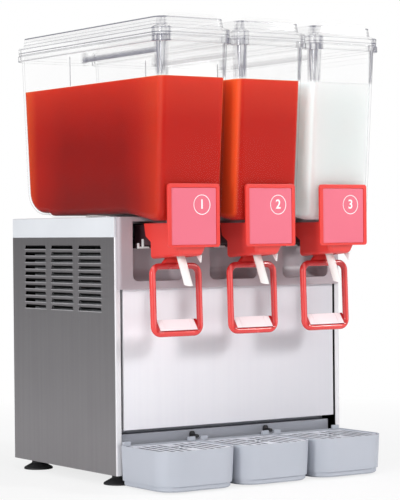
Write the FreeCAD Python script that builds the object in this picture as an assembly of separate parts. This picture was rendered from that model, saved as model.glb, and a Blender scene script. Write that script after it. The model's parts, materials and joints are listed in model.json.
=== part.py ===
import FreeCAD, Part
import math
import os

V = FreeCAD.Vector

# A chilled juice dispenser with three clear bowls in a row on a sheet steel cabinet.
# Millimetres, +X to the machine's right as the customer sees it, +Y to its back, +Z up.
# The origin is on the worktop under the middle of the whole machine.

# Row of bowls and overall sizes
bowl_count = 3
bowl_pitch = 128.0
side_margin = 3.0
cabinet_depth = 287.0
tray_reach = 115.0
deck_top = 371.0
deck_band = 28.0

# Sheet metal cabinet
sheet = 1.2
fit_gap = 0.3
foot_height = 15.5
flange_width = 8.5
bend_radius = 2.5
panel_gap = 4.3
panel_return = 12.0
front_panel_over_rail = 6.5
front_panel_overlap = 6.0
pan_lip = 16.0

# Louvres
louvre_columns = 3
louvre_rows = 10
louvre_length = 62.0
louvre_column_pitch = 76.7
louvre_row_pitch = 9.6
louvre_slot = 5.6
louvre_lean = 3.5
louvre_flap = 3.4
louvre_slant = 2.6
louvre_first_from_front = 35.0
louvre_top_drop = 11.0
rear_louvre_columns = 3
rear_louvre_rows = 9
rear_louvre_gap = 24.0

# Plastic deck with its front fascia
deck_wall = 3.0
fascia_reach = 6.0
fascia_inset = 3.0
fascia_corner = 5.8
fascia_height = 100.0
pocket_width = 82.0
pocket_lip = 11.0
pocket_depth = 28.0
pocket_corner = 9.0
pocket_head = 6.5
window_half_width = 37.0
window_drop = 10.0
window_height = 29.0

# Rail and pegs behind the drip trays
rail_top = 71.0
rail_setback = 9.0
rail_side_gap = 14.5
rail_right_gap = 24.0
peg_diameter = 5.0
peg_length = 15.0
peg_drop = 8.5

# Feet
foot_base_diameter = 43.0
foot_neck_diameter = 24.5
foot_base_height = 4.0
foot_inset_side = 24.0
foot_inset_front = 33.0
foot_inset_rear = 28.0
foot_stud_diameter = 8.0
foot_stud_length = 9.0

# Screws of the rear panel
screw_head_diameter = 7.0
screw_head_height = 2.0
screw_shank_diameter = 4.0
screw_shank_length = 8.0
screw_clearance = 0.25
screws_per_side = 4

# Bowls
bowl_wall = 3.0
bowl_half_width_top = 57.0
bowl_half_width_base = 54.0
bowl_rim_height = 240.4
bowl_front_reach_top = 105.5
bowl_front_reach_base = 90.0
bowl_rear_top = 282.5
bowl_rear_base = 269.0
bowl_corner = 14.0
bowl_side_round = 14.0
bowl_rear_round = 38.0
bowl_front_round = 10.0
heel_from_front = 206.0
heel_step = 4.5
bowl_base_steps = 9
bowl_rest_gap = 0.3
rim_band = 8.0
rim_stand_out = 4.0
nose_drop = 9.5
nose_back = 6.0
nose_half_width = 49.0
nose_round = 9.0
nose_join_height = 14.0

# Lids
lid_edge_height = 10.0
lid_height = 26.3
lid_bulge = 0.5
lid_crown_height = 19.5
lid_crown = 2.4
lid_front_crown = 3.4
lid_shoulder = 6.5
lid_front_shoulder = 10.5
lid_wall = 2.4
lid_seat_gap = 0.2
lid_plug_depth = 6.0
lid_plug_gap = 0.8
lid_round = 3.0
grip_height = 5.0
grip_depth = 12.0
grip_setback = 1.0
lid_lift = 60.0

# Evaporator, seal, stirrer and its motor
evaporator_from_front = 110.0
evaporator_diameter = 64.0
evaporator_height = 58.0
evaporator_wall = 1.2
evaporator_flange_diameter = 72.0
evaporator_flange = 1.2
seal_diameter = 78.0
seal_height = 7.0
seal_fit = 0.1
bowl_hole_gap = 0.4
stirrer_pin_diameter = 6.0
stirrer_pin_length = 16.0
running_fit = 0.06
stirrer_hub_diameter = 20.0
stirrer_hub_height = 13.0
stirrer_radius = 30.0
stirrer_blade = 3.0
stirrer_lift = 1.5
motor_diameter = 54.0
motor_height = 42.0
motor_boss_diameter = 44.0
motor_boss_height = 46.0

# Tap bracket, tube, cover and handle
cover_reach = 97.0
cover_half_width = 42.0
cover_drop = 33.3
cover_height = 86.0
cover_plate = 4.0
cover_frame = 6.5
cover_frame_foot = 2.0
cover_recess = 2.0
cover_round = 2.5
hood_half_width = 26.0
hood_setback = 4.0
hood_wall = 2.2
hood_rear = 28.0
hood_ear_rear = 11.0
hood_drop = 13.0
hood_ear_rise = 2.0
hood_round = 7.0
hinge_back = 43.0
hinge_rise = 14.0
hinge_pin_diameter = 5.0
hinge_boss_diameter = 12.0
arm_inner = 17.0
arm_thickness = 4.0
arm_drop = 8.0
arm_rise = 20.0
bracket_plate = 3.0
bracket_foot_drop = 10.0
anvil_reach = 73.0
anvil_drop = 9.0
hook_reach = 5.0
hook_spread = 29.0
hook_drop = 6.0
hook_height = 11.0
hook_bar = 3.0
spigot_diameter = 11.0
spigot_bore = 7.0
spigot_length = 11.0
spigot_reach = 62.0
tube_sleeve_diameter = 15.0
tube_sleeve_length = 12.0
tube_diameter = 12.5
tube_bore = 8.0
tube_drop = 36.0
tube_throw = 18.5
tube_bend_drop = 11.0
pinch_drop = 35.8
pinch_land = 1.5
pinch_thickness = 6.0
pinch_slope = 6.0
loop_half_width = 42.0
loop_drop = 33.0
loop_height = 100.5
loop_bar = 9.4
loop_depth = 8.5
loop_corner = 15.0
loop_reach = 52.0
loop_foot_depth = 16.0
loop_foot_height = 34.0
neck_half_width = 12.0
neck_foot_half_width = 27.0
neck_depth = 8.0
pad_rise = 14.0
pad_run = 12.0
pad_thickness = 2.0
gusset_thickness = 2.4
handle_swing = 16.0
tail_reach = 23.0
tail_thickness = 5.0
tail_half_width = 6.0
spring_back = 18.0
spring_diameter = 9.0
spring_wire = 1.2
spring_seat_gap = 0.1

# Drip trays and grids
tray_gap = 2.5
tray_bottom = 2.6
tray_front_rim = 57.5
tray_rear_gap = 3.0
tray_wall = 2.4
tray_corner = 30.0
tray_rear_corner = 4.0
tray_skirt_height = 7.5
tray_skirt_inset = 2.2
tray_draft = 2.0
tray_ledge_drop = 4.5
tray_ledge_width = 3.0
ear_height = 8.5
ear_width = 15.0
ear_thickness = 3.5
ear_peg_gap = 0.8
grid_thickness = 3.0
grid_gap = 0.6
grid_slots = 9
grid_slot_width = 3.4
grid_hub_radius = 11.0
grid_spokes = 8
grid_rim = 5.0

# Refrigeration inside the cabinet
condenser_thickness = 36.0
condenser_side_gap = 6.0
condenser_bottom = 120.0
condenser_head_gap = 23.0
condenser_front = 45.0
condenser_rear_gap = 47.0
condenser_rim = 3.0
condenser_inset = 2.0
condenser_leg = 12.0
fan_gap = 8.0
fan_plate = 2.0
fan_opening = 150.0
fan_diameter = 140.0
fan_hub_diameter = 36.0
fan_blades = 5
fan_blade_thickness = 2.0
fan_motor_diameter = 62.0
fan_motor_length = 42.0
fan_shaft_diameter = 6.0
fan_shaft_reach = 18.0
fan_arm = 12.0
compressor_radius = 58.0
compressor_height = 138.0
compressor_x = 96.0
compressor_back = 180.0
compressor_plate = 3.0
compressor_rubber_height = 12.0
compressor_rubber_diameter = 22.0
dryer_diameter = 20.0
dryer_length = 70.0
pipe_diameter = 7.0
pipe_bend = 14.0
pipe_rise = 60.0
pipe_shift = 32.0

# Controls and inlet in the rear panel
control_width = 150.0
control_height = 54.0
control_recess = 17.0
control_drop = 60.0
switch_width = 20.0
switch_height = 28.0
switch_gap = 0.4
switch_tilt = 8.0
switch_spacing = 34.0
knob_diameter = 30.0
knob_height = 13.0
knob_shaft_diameter = 6.0
knob_flutes = 6
knob_flute = 6.0
inlet_width = 28.0
inlet_height = 22.0
inlet_depth = 20.0
inlet_wall = 2.0
inlet_from_side = 55.0
inlet_middle_height = 52.0

# Places that follow from the sizes above
cabinet_half = bowl_count * bowl_pitch / 2 + side_margin
overall_depth = cabinet_depth + tray_reach + screw_head_height
front = tray_reach - overall_depth / 2
rear = front + cabinet_depth
deck_bottom = deck_top - deck_band
bowl_base = deck_top + bowl_rest_gap
bowl_rim = bowl_base + bowl_rim_height
bowl_centres = [(i - (bowl_count - 1) / 2) * bowl_pitch for i in range(bowl_count)]
nose_bottom = bowl_base - nose_drop
fascia_bottom = deck_top - fascia_height
pocket_floor = fascia_bottom + pocket_lip
window_top = deck_top - window_drop
window_bottom = window_top - window_height
peg_height = rail_top - peg_drop
front_panel_bottom = rail_top + front_panel_over_rail
cover_bottom = nose_bottom - cover_drop
pinch_height = nose_bottom - pinch_drop
tube_bend_height = pinch_height - tube_bend_drop
hood_bottom = pinch_height - hood_drop
bracket_foot = pinch_height - bracket_foot_drop
anvil_bottom = pinch_height - anvil_drop
hinge_height = pinch_height + hinge_rise
hood_step = hinge_height + hood_ear_rise
arm_bottom = hinge_height - arm_drop
arm_top = hinge_height + arm_rise
hook_bottom = hinge_height - hook_drop
loop_top = hinge_height - loop_drop
loop_bottom = loop_top - loop_height
condenser_top = deck_bottom - condenser_head_gap
condenser_rear = cabinet_depth - condenser_rear_gap
control_middle_height = deck_bottom - control_drop
rear_louvre_top = control_middle_height - control_height / 2 - rear_louvre_gap
tray_half_width = bowl_pitch / 2 - tray_gap / 2


def block(x0, x1, y0, y1, z0, z1):
    return Part.makeBox(x1 - x0, y1 - y0, z1 - z0, V(x0, y0, z0))


def rod(diameter, start, direction, length):
    return Part.makeCylinder(diameter / 2, length, V(*start), V(*direction))


def outline(points, flat):
    """A closed face through points; an item of two points is an arc's middle and end."""
    edges = []
    here = points[0]
    for item in points[1:] + [points[0]]:
        if isinstance(item[0], tuple):
            middle, end = item
            edges.append(Part.Arc(flat(*here), flat(*middle), flat(*end)).toShape())
        else:
            end = item
            edges.append(Part.makeLine(flat(*here), flat(*end)))
        here = end
    return Part.Face(Part.Wire(edges))


def side_cut(points, x0, x1):
    """A solid with a side view of (y, z) points, from x0 to x1."""
    return outline(points, lambda y, z: V(x0, y, z)).extrude(V(x1 - x0, 0, 0))


def front_cut(points, y0, y1):
    """A solid with a front view of (x, z) points, from y0 to y1."""
    return outline(points, lambda x, z: V(x, y0, z)).extrude(V(0, y1 - y0, 0))


def plan_cut(points, z0, z1):
    """A solid with a plan of (x, y) points, from z0 to z1."""
    return outline(points, lambda x, y: V(x, y, z0)).extrude(V(0, 0, z1 - z0))


def rounded_points(x0, x1, y0, y1, radii):
    """Corners of a rounded rectangle; radii run from (x1, y1) round by (x0, y1), 0 for a sharp one."""
    turn = math.sqrt(0.5)
    points = []
    corners = ((x1, y1, 1, 1), (x0, y1, -1, 1), (x0, y0, -1, -1), (x1, y0, 1, -1))
    for (x, y, sx, sy), r in zip(corners, radii):
        if r == 0:
            points.append((x, y))
            continue
        cx, cy = x - sx * r, y - sy * r
        along_y = (x, cy)
        along_x = (cx, y)
        first, last = (along_y, along_x) if sx * sy > 0 else (along_x, along_y)
        middle = (cx + sx * r * turn, cy + sy * r * turn)
        points.append(first)
        points.append((middle, last))
    return points


def rounded_wire(x0, x1, y0, y1, r, z):
    """A rounded rectangle lying at height z."""
    points = rounded_points(x0, x1, y0, y1, [r] * 4)
    return outline(points, lambda x, y: V(x, y, z)).OuterWire


def rounded_block(x0, x1, y0, y1, z0, z1, r):
    return plan_cut(rounded_points(x0, x1, y0, y1, [r] * 4), z0, z1)


def stack(wires):
    """A solid with straight walls between outlines one above the other."""
    return Part.makeLoft(wires, True, True)


def joined(shapes):
    """One shape from pieces that touch or overlap."""
    whole = shapes[0].fuse(shapes[1:]) if len(shapes) > 1 else shapes[0]
    return whole.removeSplitter()


def rounded_edges(shape, radius, wanted):
    return shape.makeFillet(radius, [edge for edge in shape.Edges if wanted(edge.BoundBox)])


def bent_tube(points, radius, diameter):
    """A round tube on straight runs joined by arcs that touch both runs."""
    edges = []
    here = V(*points[0])
    for before, corner, after in zip(points, points[1:], points[2:]):
        a, b, c = V(*before), V(*corner), V(*after)
        back = (a - b).normalize()
        ahead = (c - b).normalize()
        half = back.getAngle(ahead) / 2
        reach = radius / math.tan(half)
        start = b + back * reach
        end = b + ahead * reach
        middle_way = (back + ahead).normalize()
        middle = b + middle_way * (radius / math.sin(half) - radius)
        edges.append(Part.makeLine(here, start))
        edges.append(Part.Arc(start, middle, end).toShape())
        here = end
    edges.append(Part.makeLine(here, V(*points[-1])))
    path = Part.Wire(edges)
    direction = V(*points[1]) - V(*points[0])
    section = Part.Wire([Part.makeCircle(diameter / 2, V(*points[0]), direction)])
    return path.makePipeShell([section], True, False)


# Louvres: rows of slots, each with a flap of the sheet bent inwards from its top edge
def louvred(panel, slots, flaps):
    return joined([panel.cut(slots)] + flaps)


def slot_view(a0, z1):
    """A slot seen square on: wider at its foot, a0 being where it starts."""
    z0 = z1 - louvre_slot
    return [(a0 + louvre_slant, z1), (a0 + louvre_length - louvre_slant, z1), (a0 + louvre_length, z0), (a0, z0)]


def side_louvres(side):
    """Slots and inward flaps for one side panel; side is -1 for the left."""
    slots = []
    flaps = []
    outer = side * cabinet_half
    inner = outer - side * sheet
    lean = side * louvre_lean
    x_low, x_high = sorted((outer, inner))
    for column in range(louvre_columns):
        y0 = front + louvre_first_from_front + column * louvre_column_pitch
        for row in range(louvre_rows):
            z1 = deck_bottom - louvre_top_drop - row * louvre_row_pitch
            z_flap = z1 - louvre_flap
            slots.append(side_cut(slot_view(y0, z1), x_low, x_high))
            section = [(outer, z1), (inner, z1), (inner - lean, z_flap), (outer - lean, z_flap)]
            flaps.append(front_cut(section, y0 + louvre_slant, y0 + louvre_length - louvre_slant))
    return slots, flaps


def rear_louvres():
    slots = []
    flaps = []
    y0, y1 = rear - sheet, rear
    for column in range(rear_louvre_columns):
        x0 = (column - (rear_louvre_columns - 1) / 2) * louvre_column_pitch - louvre_length / 2
        for row in range(rear_louvre_rows):
            z1 = rear_louvre_top - row * louvre_row_pitch
            z_flap = z1 - louvre_flap
            slots.append(front_cut(slot_view(x0, z1), y0, y1))
            section = [(y1, z1), (y0, z1), (y0 - louvre_lean, z_flap), (y1 - louvre_lean, z_flap)]
            flaps.append(side_cut(section, x0 + louvre_slant, x0 + louvre_length - louvre_slant))
    return slots, flaps


# Cabinet
def foot_places():
    for x in (-cabinet_half + foot_inset_side, cabinet_half - foot_inset_side):
        for y in (front + foot_inset_front, rear - foot_inset_rear):
            yield x, y


def base_pan():
    """Floor of the cabinet, an upturned sheet tray."""
    half = cabinet_half - sheet - fit_gap
    y0 = front + rail_setback + sheet + fit_gap
    y1 = rear - 2 * sheet - 2 * fit_gap
    outer = block(-half, half, y0, y1, foot_height, foot_height + pan_lip)
    inner = block(-half + sheet, half - sheet, y0 + sheet, y1 - sheet,
                  foot_height + sheet, foot_height + pan_lip)
    pan = outer.cut(inner)
    for x, y in foot_places():
        pan = pan.cut(rod(foot_stud_diameter + 2 * fit_gap, (x, y, foot_height), (0, 0, 1), sheet))
    return pan


def feet():
    """Black flared feet, each with its stud through the base pan."""
    solids = []
    for x, y in foot_places():
        base = foot_base_diameter / 2
        neck = foot_neck_diameter / 2
        profile = [(0, 0), (base, 0), (base, foot_base_height / 2),
                   ((base - 3.0, foot_base_height + 1.2), (neck + 1.5, foot_height - 5.0)),
                   (neck, foot_height - 4.0), (neck, foot_height), (0, foot_height)]
        face = outline(profile, lambda r, z: V(x + r, y, z))
        body = face.revolve(V(x, y, 0), V(0, 0, 1), 360)
        stud = rod(foot_stud_diameter, (x, y, foot_height), (0, 0, 1), foot_stud_length)
        solids.append(joined([body, stud]))
    return Part.makeCompound(solids)


def screw_places():
    x = cabinet_half - flange_width / 2
    first = foot_height + pan_lip + 12.0
    last = deck_bottom - 14.0
    step = (last - first) / (screws_per_side - 1)
    for side in (-1, 1):
        for i in range(screws_per_side):
            yield side * x, first + i * step


def panel_screws():
    solids = []
    for x, z in screw_places():
        head = rod(screw_head_diameter, (x, rear, z), (0, 1, 0), screw_head_height)
        head = rounded_edges(head, 0.8, lambda b: b.YMin > rear + screw_head_height - 0.1)
        shank = rod(screw_shank_diameter, (x, rear, z), (0, -1, 0), screw_shank_length)
        slot = block(x - 2.6, x + 2.6, rear + 1.2, rear + screw_head_height, z - 0.5, z + 0.5)
        solids.append(joined([head, shank]).cut(slot))
    return Part.makeCompound(solids)


def screw_holes(shape):
    for x, z in screw_places():
        hole = rod(screw_shank_diameter + 2 * screw_clearance, (x, rear, z), (0, -1, 0), screw_shank_length)
        shape = shape.cut(hole)
    return shape


def side_panel(side):
    """Outer skin of one side with a bent front edge, a rear flange and louvres."""
    outer = cabinet_half
    inner = outer - sheet
    toe = outer - flange_width
    turn = math.sqrt(0.5)
    rear_skin = rear - sheet - fit_gap
    bend = bend_radius
    inner_bend = bend - sheet
    cx, cy = outer - bend, front + bend
    points = [(toe, front), (cx, front), ((cx + bend * turn, cy - bend * turn), (outer, cy)),
              (outer, rear_skin), (toe, rear_skin), (toe, rear_skin - sheet), (inner, rear_skin - sheet),
              (inner, cy), ((cx + inner_bend * turn, cy - inner_bend * turn), (cx, front + sheet)),
              (toe, front + sheet)]
    panel = plan_cut([place(side, item) for item in points], foot_height, deck_bottom)
    panel = screw_holes(panel)
    slots, flaps = side_louvres(side)
    return louvred(panel, slots, flaps)


def place(side, item):
    """Mirror a plan point, or an arc's two points, to one side."""
    if isinstance(item[0], tuple):
        return tuple(place(side, part) for part in item)
    return (side * item[0], item[1])


def front_panel():
    """Plain steel front, folded back at its edges; its head is hidden by the fascia."""
    half = cabinet_half - flange_width - panel_gap
    z1 = fascia_bottom + front_panel_overlap
    outer = block(-half, half, front, front + panel_return, front_panel_bottom, z1)
    inner = block(-half + sheet, half - sheet, front + sheet, front + panel_return,
                  front_panel_bottom + sheet, z1 - sheet)
    return outer.cut(inner)


def rear_panel():
    """Rear cover with louvres, a control recess and the inlet's cut-out."""
    panel = block(-cabinet_half, cabinet_half, rear - sheet, rear, foot_height, deck_bottom)
    panel = screw_holes(panel)
    slots, flaps = rear_louvres()
    panel = louvred(panel, slots, flaps)
    hw, hh = control_width / 2, control_height / 2
    recess = block(-hw, hw, rear - sheet, rear, control_middle_height - hh, control_middle_height + hh)
    inlet = inlet_box(inlet_wall, fit_gap)
    return panel.cut(recess).cut(inlet)


def rail():
    """Grey cross rail under the front panel; the drip trays sit against it."""
    x0 = -cabinet_half + rail_side_gap
    x1 = cabinet_half - rail_right_gap
    y0 = front + rail_setback
    plate = block(x0, x1, y0, y0 + sheet, foot_height, rail_top)
    shelf = block(x0, x1, y0, front + panel_return + rail_setback, rail_top - sheet, rail_top)
    return joined([plate, shelf])


def tray_pegs():
    """Black pegs in the rail that the trays' ears drop between."""
    solids = []
    for left in bowl_centres[:-1]:
        x = left + bowl_pitch / 2
        start = (x, front + rail_setback, peg_height)
        peg = rod(peg_diameter, start, (0, -1, 0), peg_length)
        solids.append(rounded_edges(peg, 1.0, lambda b: b.YMax < front + rail_setback - peg_length + 0.1))
    return Part.makeCompound(solids)


# Deck
def pocket_box(x, grow):
    """The hollow behind one tap, open at the front, its two lower corners round."""
    half = pocket_width / 2 + grow
    z0 = pocket_floor - grow
    z1 = deck_top - pocket_head + grow
    r = pocket_corner + grow
    turn = math.sqrt(0.5)
    points = [(x - half, z1), (x - half, z0 + r),
              ((x - half + r - r * turn, z0 + r - r * turn), (x - half + r, z0)),
              (x + half - r, z0), ((x + half - r + r * turn, z0 + r - r * turn), (x + half, z0 + r)),
              (x + half, z1)]
    y0 = front - fascia_reach
    return front_cut(points, y0, y0 + pocket_depth + grow)


def top_deck():
    """Deck that carries the bowls, open towards the fascia, with a hole for each motor's boss."""
    half = cabinet_half
    deck = block(-half, half, front, rear, deck_bottom, deck_top)
    deck = deck.cut(block(-half + deck_wall, half - deck_wall, front, rear - deck_wall,
                          deck_bottom, deck_top - deck_wall))
    mouth = motor_boss_diameter + 4 * fit_gap
    for x in bowl_centres:
        deck = deck.cut(rod(mouth, (x, front + evaporator_from_front, deck_top), (0, 0, -1), deck_wall))
    return deck


def front_fascia():
    """Grey moulding before the deck, with a pocket behind each tap."""
    half = cabinet_half - fascia_inset
    y0 = front - fascia_reach
    outer = [0, 0, fascia_corner, fascia_corner]
    apron = plan_cut(rounded_points(-half, half, y0, front, outer), fascia_bottom, deck_top)
    inner = [0, 0, fascia_corner - deck_wall, fascia_corner - deck_wall]
    core = plan_cut(rounded_points(-half + deck_wall, half - deck_wall, y0 + deck_wall, front + 1.0, inner),
                    fascia_bottom, deck_top - deck_wall)
    fascia = joined([apron.cut(core)] + [pocket_box(x, deck_wall) for x in bowl_centres])
    for x in bowl_centres:
        fascia = fascia.cut(pocket_box(x, 0)).cut(bracket_window(x))
    return fascia


def bracket_window(x):
    """Dark opening in the upper part of a pocket's back wall."""
    y0 = front - fascia_reach + pocket_depth
    return block(x - window_half_width, x + window_half_width, y0, y0 + deck_wall, window_bottom, window_top)


# Evaporator, seal, stirrer and motor of one bowl
def evaporator(x):
    """Closed steel dome standing on the deck; the bowl is lowered over it."""
    y = front + evaporator_from_front
    z0 = deck_top
    outer = rod(evaporator_diameter, (x, y, z0), (0, 0, 1), evaporator_height)
    outer = rounded_edges(outer, 8.0, lambda b: b.ZMin > z0 + evaporator_height - 0.1)
    flange = rod(evaporator_flange_diameter, (x, y, z0), (0, 0, 1), evaporator_flange)
    pin = rod(stirrer_pin_diameter, (x, y, z0 + evaporator_height - evaporator_wall), (0, 0, 1),
              stirrer_pin_length + evaporator_wall)
    inner_diameter = evaporator_diameter - 2 * evaporator_wall
    inner_height = evaporator_height - evaporator_wall
    inner = rod(inner_diameter, (x, y, z0), (0, 0, 1), inner_height)
    inner = rounded_edges(inner, 7.0, lambda b: b.ZMin > z0 + inner_height - 0.1)
    return joined([outer, flange, pin]).cut(inner)


def bowl_seals():
    solids = []
    y = front + evaporator_from_front
    z0 = deck_top + evaporator_flange
    for x in bowl_centres:
        ring = rod(seal_diameter, (x, y, z0), (0, 0, 1), seal_height)
        ring = rounded_edges(ring, 1.5, lambda b: b.ZMin > z0 + seal_height - 0.1)
        bore = rod(evaporator_diameter + 2 * seal_fit, (x, y, z0), (0, 0, 1), seal_height)
        solids.append(ring.cut(bore))
    return Part.makeCompound(solids)


def stirrer(x):
    """Paddle that turns on the evaporator's pin."""
    y = front + evaporator_from_front
    z0 = deck_top + evaporator_height + stirrer_lift
    hub = rod(stirrer_hub_diameter, (x, y, z0), (0, 0, 1), stirrer_hub_height)
    hub = rounded_edges(hub, 2.0, lambda b: b.ZMin > z0 + stirrer_hub_height - 0.1)
    blades = []
    for angle in (0, 120, 240):
        section = [(-stirrer_blade / 2, z0), (stirrer_blade / 2, z0),
                   (stirrer_blade / 2 + 5.0, z0 + stirrer_hub_height - 2.5),
                   (-stirrer_blade / 2 + 5.0, z0 + stirrer_hub_height - 2.5)]
        blade = front_cut(section, stirrer_hub_diameter / 4, stirrer_radius)
        blade.rotate(V(0, 0, 0), V(0, 0, 1), angle)
        blade.translate(V(x, y, 0))
        blades.append(blade)
    bore = rod(stirrer_pin_diameter + 2 * running_fit, (x, y, z0), (0, 0, 1),
               stirrer_pin_length + 1.0 - stirrer_lift)
    return joined([hub] + blades).cut(bore)


def stirrer_motors():
    """Sealed gear motors under the deck; each boss reaches up inside its evaporator."""
    solids = []
    y = front + evaporator_from_front
    top = deck_top - deck_wall
    for x in bowl_centres:
        can = rod(motor_diameter, (x, y, top), (0, 0, -1), motor_height)
        can = rounded_edges(can, 3.0, lambda b: b.ZMax < top - motor_height + 0.1)
        boss = rod(motor_boss_diameter, (x, y, top), (0, 0, 1), motor_boss_height)
        boss = rounded_edges(boss, 4.0, lambda b: b.ZMin > top + motor_boss_height - 0.1)
        ear = rounded_block(x - motor_diameter / 2 - 10.0, x + motor_diameter / 2 + 10.0, y - 9.0, y + 9.0,
                            top - 3.0, top, 8.9)
        solids.append(joined([can, boss, ear]))
    return Part.makeCompound(solids)


# Bowl and lid
def bowl_level(x, inset, up):
    """Half width, front and rear of the bowl at a height above its base."""
    share = up / bowl_rim_height
    half = bowl_half_width_base + (bowl_half_width_top - bowl_half_width_base) * share
    ahead = bowl_front_reach_base + (bowl_front_reach_top - bowl_front_reach_base) * share
    back = bowl_rear_base + (bowl_rear_top - bowl_rear_base) * share
    half -= rounding(bowl_side_round - inset, up - inset)
    ahead -= rounding(bowl_front_round - inset, up - inset)
    back -= rounding(bowl_rear_round - inset, up - inset)
    return half - inset, ahead - inset, back - inset


def rounding(radius, up):
    """How far a round bottom edge draws in at a height above the bottom."""
    if up >= radius:
        return 0.0
    return radius - math.sqrt(max(radius ** 2 - (radius - up) ** 2, 0.0))


def bowl_form(x, inset, top):
    """The bowl's outside, or its inside when inset is the wall."""
    heights = [inset + (bowl_rear_round - inset) * (1 - math.cos(math.pi / 2 * i / (bowl_base_steps - 1)))
               for i in range(bowl_base_steps)]
    wires = []
    for up in heights + [top]:
        half, ahead, back = bowl_level(x, inset, up)
        r = bowl_corner - inset
        wires.append(rounded_wire(x - half, x + half, front - ahead, front + back, r, bowl_base + up))
    return stack(wires)


def nose(x, inset):
    """The deeper front end that overhangs the fascia and feeds the tap."""
    half = nose_half_width - inset
    y0 = front - bowl_front_reach_base + inset
    y1 = front - nose_back - inset
    z0 = nose_bottom + inset
    z1 = bowl_base + nose_join_height
    slope = [(y0, z0), (y1 - 55.0, z0), (y1, bowl_base + inset - 1.0), (y1, z1), (y0, z1)]
    body = side_cut(slope, x - half, x + half)
    r = nose_round - inset * 0.6
    return rounded_edges(body, r, lambda b: b.ZMax < bowl_base + inset - 0.5 and b.YMin < y1 - 1.0
                         or b.YMax < y0 + 0.1 and b.ZMax > z1 - 0.1 and b.XMax - b.XMin < 0.1)


def bowl(x):
    outer = joined([bowl_form(x, 0.0, bowl_rim_height), nose(x, 0.0)])
    inner = joined([bowl_form(x, bowl_wall, bowl_rim_height + 1.0), nose(x, bowl_wall)])
    half, ahead, back = bowl_level(x, 0.0, bowl_rim_height - rim_band)
    band_low = rounded_wire(x - half, x + half, front - ahead, front + back, bowl_corner, bowl_rim - rim_band)
    half, ahead, back = bowl_level(x, -rim_stand_out, bowl_rim_height)
    band_high = rounded_wire(x - half, x + half, front - ahead, front + back,
                             bowl_corner + rim_stand_out, bowl_rim)
    heel = block(x - bowl_pitch, x + bowl_pitch, front + heel_from_front, rear, bowl_base, bowl_base + heel_step)
    room_heel = heel.copy()
    room_heel.translate(V(0, -bowl_wall, bowl_wall))
    outer = outer.cut(heel)
    inner = inner.cut(room_heel)
    shape = joined([outer, stack([band_low, band_high])]).cut(inner)
    y = front + evaporator_from_front
    hole = rod(seal_diameter + 2 * bowl_hole_gap, (x, y, bowl_base), (0, 0, 1), bowl_wall)
    spigot = rod(spigot_diameter, (x, front - spigot_reach, nose_bottom), (0, 0, -1), spigot_length)
    outlet = rod(spigot_bore, (x, front - spigot_reach, nose_bottom + bowl_wall), (0, 0, -1),
                 spigot_length + bowl_wall)
    return joined([shape.cut(hole), spigot]).cut(outlet)


def lid(x):
    """Clear stepped lid that sits on the bowl's rim, with a raised front grip."""
    half, ahead, back = bowl_level(x, -rim_stand_out, bowl_rim_height)
    r = bowl_corner + rim_stand_out
    z0 = bowl_rim + lid_seat_gap
    z1 = z0 + lid_edge_height
    z2 = z0 + lid_height

    def layer(grow, front_grow, z):
        return rounded_wire(x - half - grow, x + half + grow, front - ahead - front_grow,
                            front + back + grow, r + grow, z)

    def crown(t):
        top = z2 - t
        return stack([layer(-t, -t, z0), layer(lid_bulge - t, lid_bulge - t, z1),
                      layer(-lid_crown - t, -lid_front_crown - t, z0 + lid_crown_height - t / 2),
                      layer(-lid_shoulder - t, -lid_front_shoulder - t, top)])

    outer = crown(0.0)
    outer = rounded_edges(outer, lid_round, lambda b: b.ZMin > z2 - 0.1)
    shell = outer.cut(crown(lid_wall))
    wall_half, wall_ahead, wall_back = bowl_level(x, bowl_wall, bowl_rim_height)
    g = lid_plug_gap
    plug_r = bowl_corner - bowl_wall - g

    def plug(t, low, high):
        return rounded_block(x - wall_half + g + t, x + wall_half - g - t, front - wall_ahead + g + t,
                             front + wall_back - g - t, low, high, plug_r - t)

    ledge_top = z0 + lid_wall
    ledge = rounded_block(x - half + lid_wall / 2, x + half - lid_wall / 2, front - ahead + lid_wall / 2,
                          front + back - lid_wall / 2, z0, ledge_top, r - lid_wall / 2)
    plug_z0 = z0 - lid_plug_depth
    collar = joined([ledge, plug(0.0, plug_z0, ledge_top)]).cut(plug(lid_wall, plug_z0 - 1.0, ledge_top + 1.0))
    y_grip = front - ahead + lid_front_shoulder + grip_setback
    grip_half = half - lid_shoulder - bowl_corner
    grip = block(x - grip_half, x + grip_half, y_grip, y_grip + grip_depth, z2 - lid_wall, z2 + grip_height)
    grip = rounded_edges(grip, 3.0, lambda b: b.ZMin > z2 + grip_height - 0.1)
    return joined([shell, collar, grip])


# Tap of one bowl
def tap_bracket(x):
    """White frame on the pocket's back wall: two arms, the anvil and the spring's roof."""
    wall = front - fascia_reach + pocket_depth
    half = arm_inner + arm_thickness
    anvil_front = front - anvil_reach - arm_thickness
    plate = block(x - half, x + half, wall - bracket_plate, wall, bracket_foot, arm_top)
    pieces = [plate]
    for side in (-1, 1):
        x0, x1 = sorted((x + side * arm_inner, x + side * half))
        pieces.append(block(x0, x1, anvil_front, wall, arm_bottom, arm_top))
        pieces.append(hook(x, side))
    drop = block(x - half, x + half, anvil_front, front - anvil_reach, anvil_bottom, arm_top)
    tip = front - spigot_reach - pinch_thickness / 2 - fit_gap
    root_half = pinch_land + pinch_slope * 0.7
    ridge = [(front - anvil_reach, pinch_height - root_half), (tip, pinch_height - pinch_land),
             (tip, pinch_height + pinch_land), (front - anvil_reach, pinch_height + root_half)]
    pieces += [drop, side_cut(ridge, x - neck_half_width, x + neck_half_width)]
    y_spring = front - hinge_back + spring_back
    roof_half = spring_diameter / 2 + 2.0
    pieces.append(block(x - half, x + half, y_spring - roof_half, y_spring + roof_half,
                        arm_top - bracket_plate, arm_top))
    frame = joined(pieces)
    bore = rod(hinge_pin_diameter + 2 * running_fit, (x - half, front - hinge_back, hinge_height),
               (1, 0, 0), 2 * half)
    return frame.cut(bore)


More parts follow.
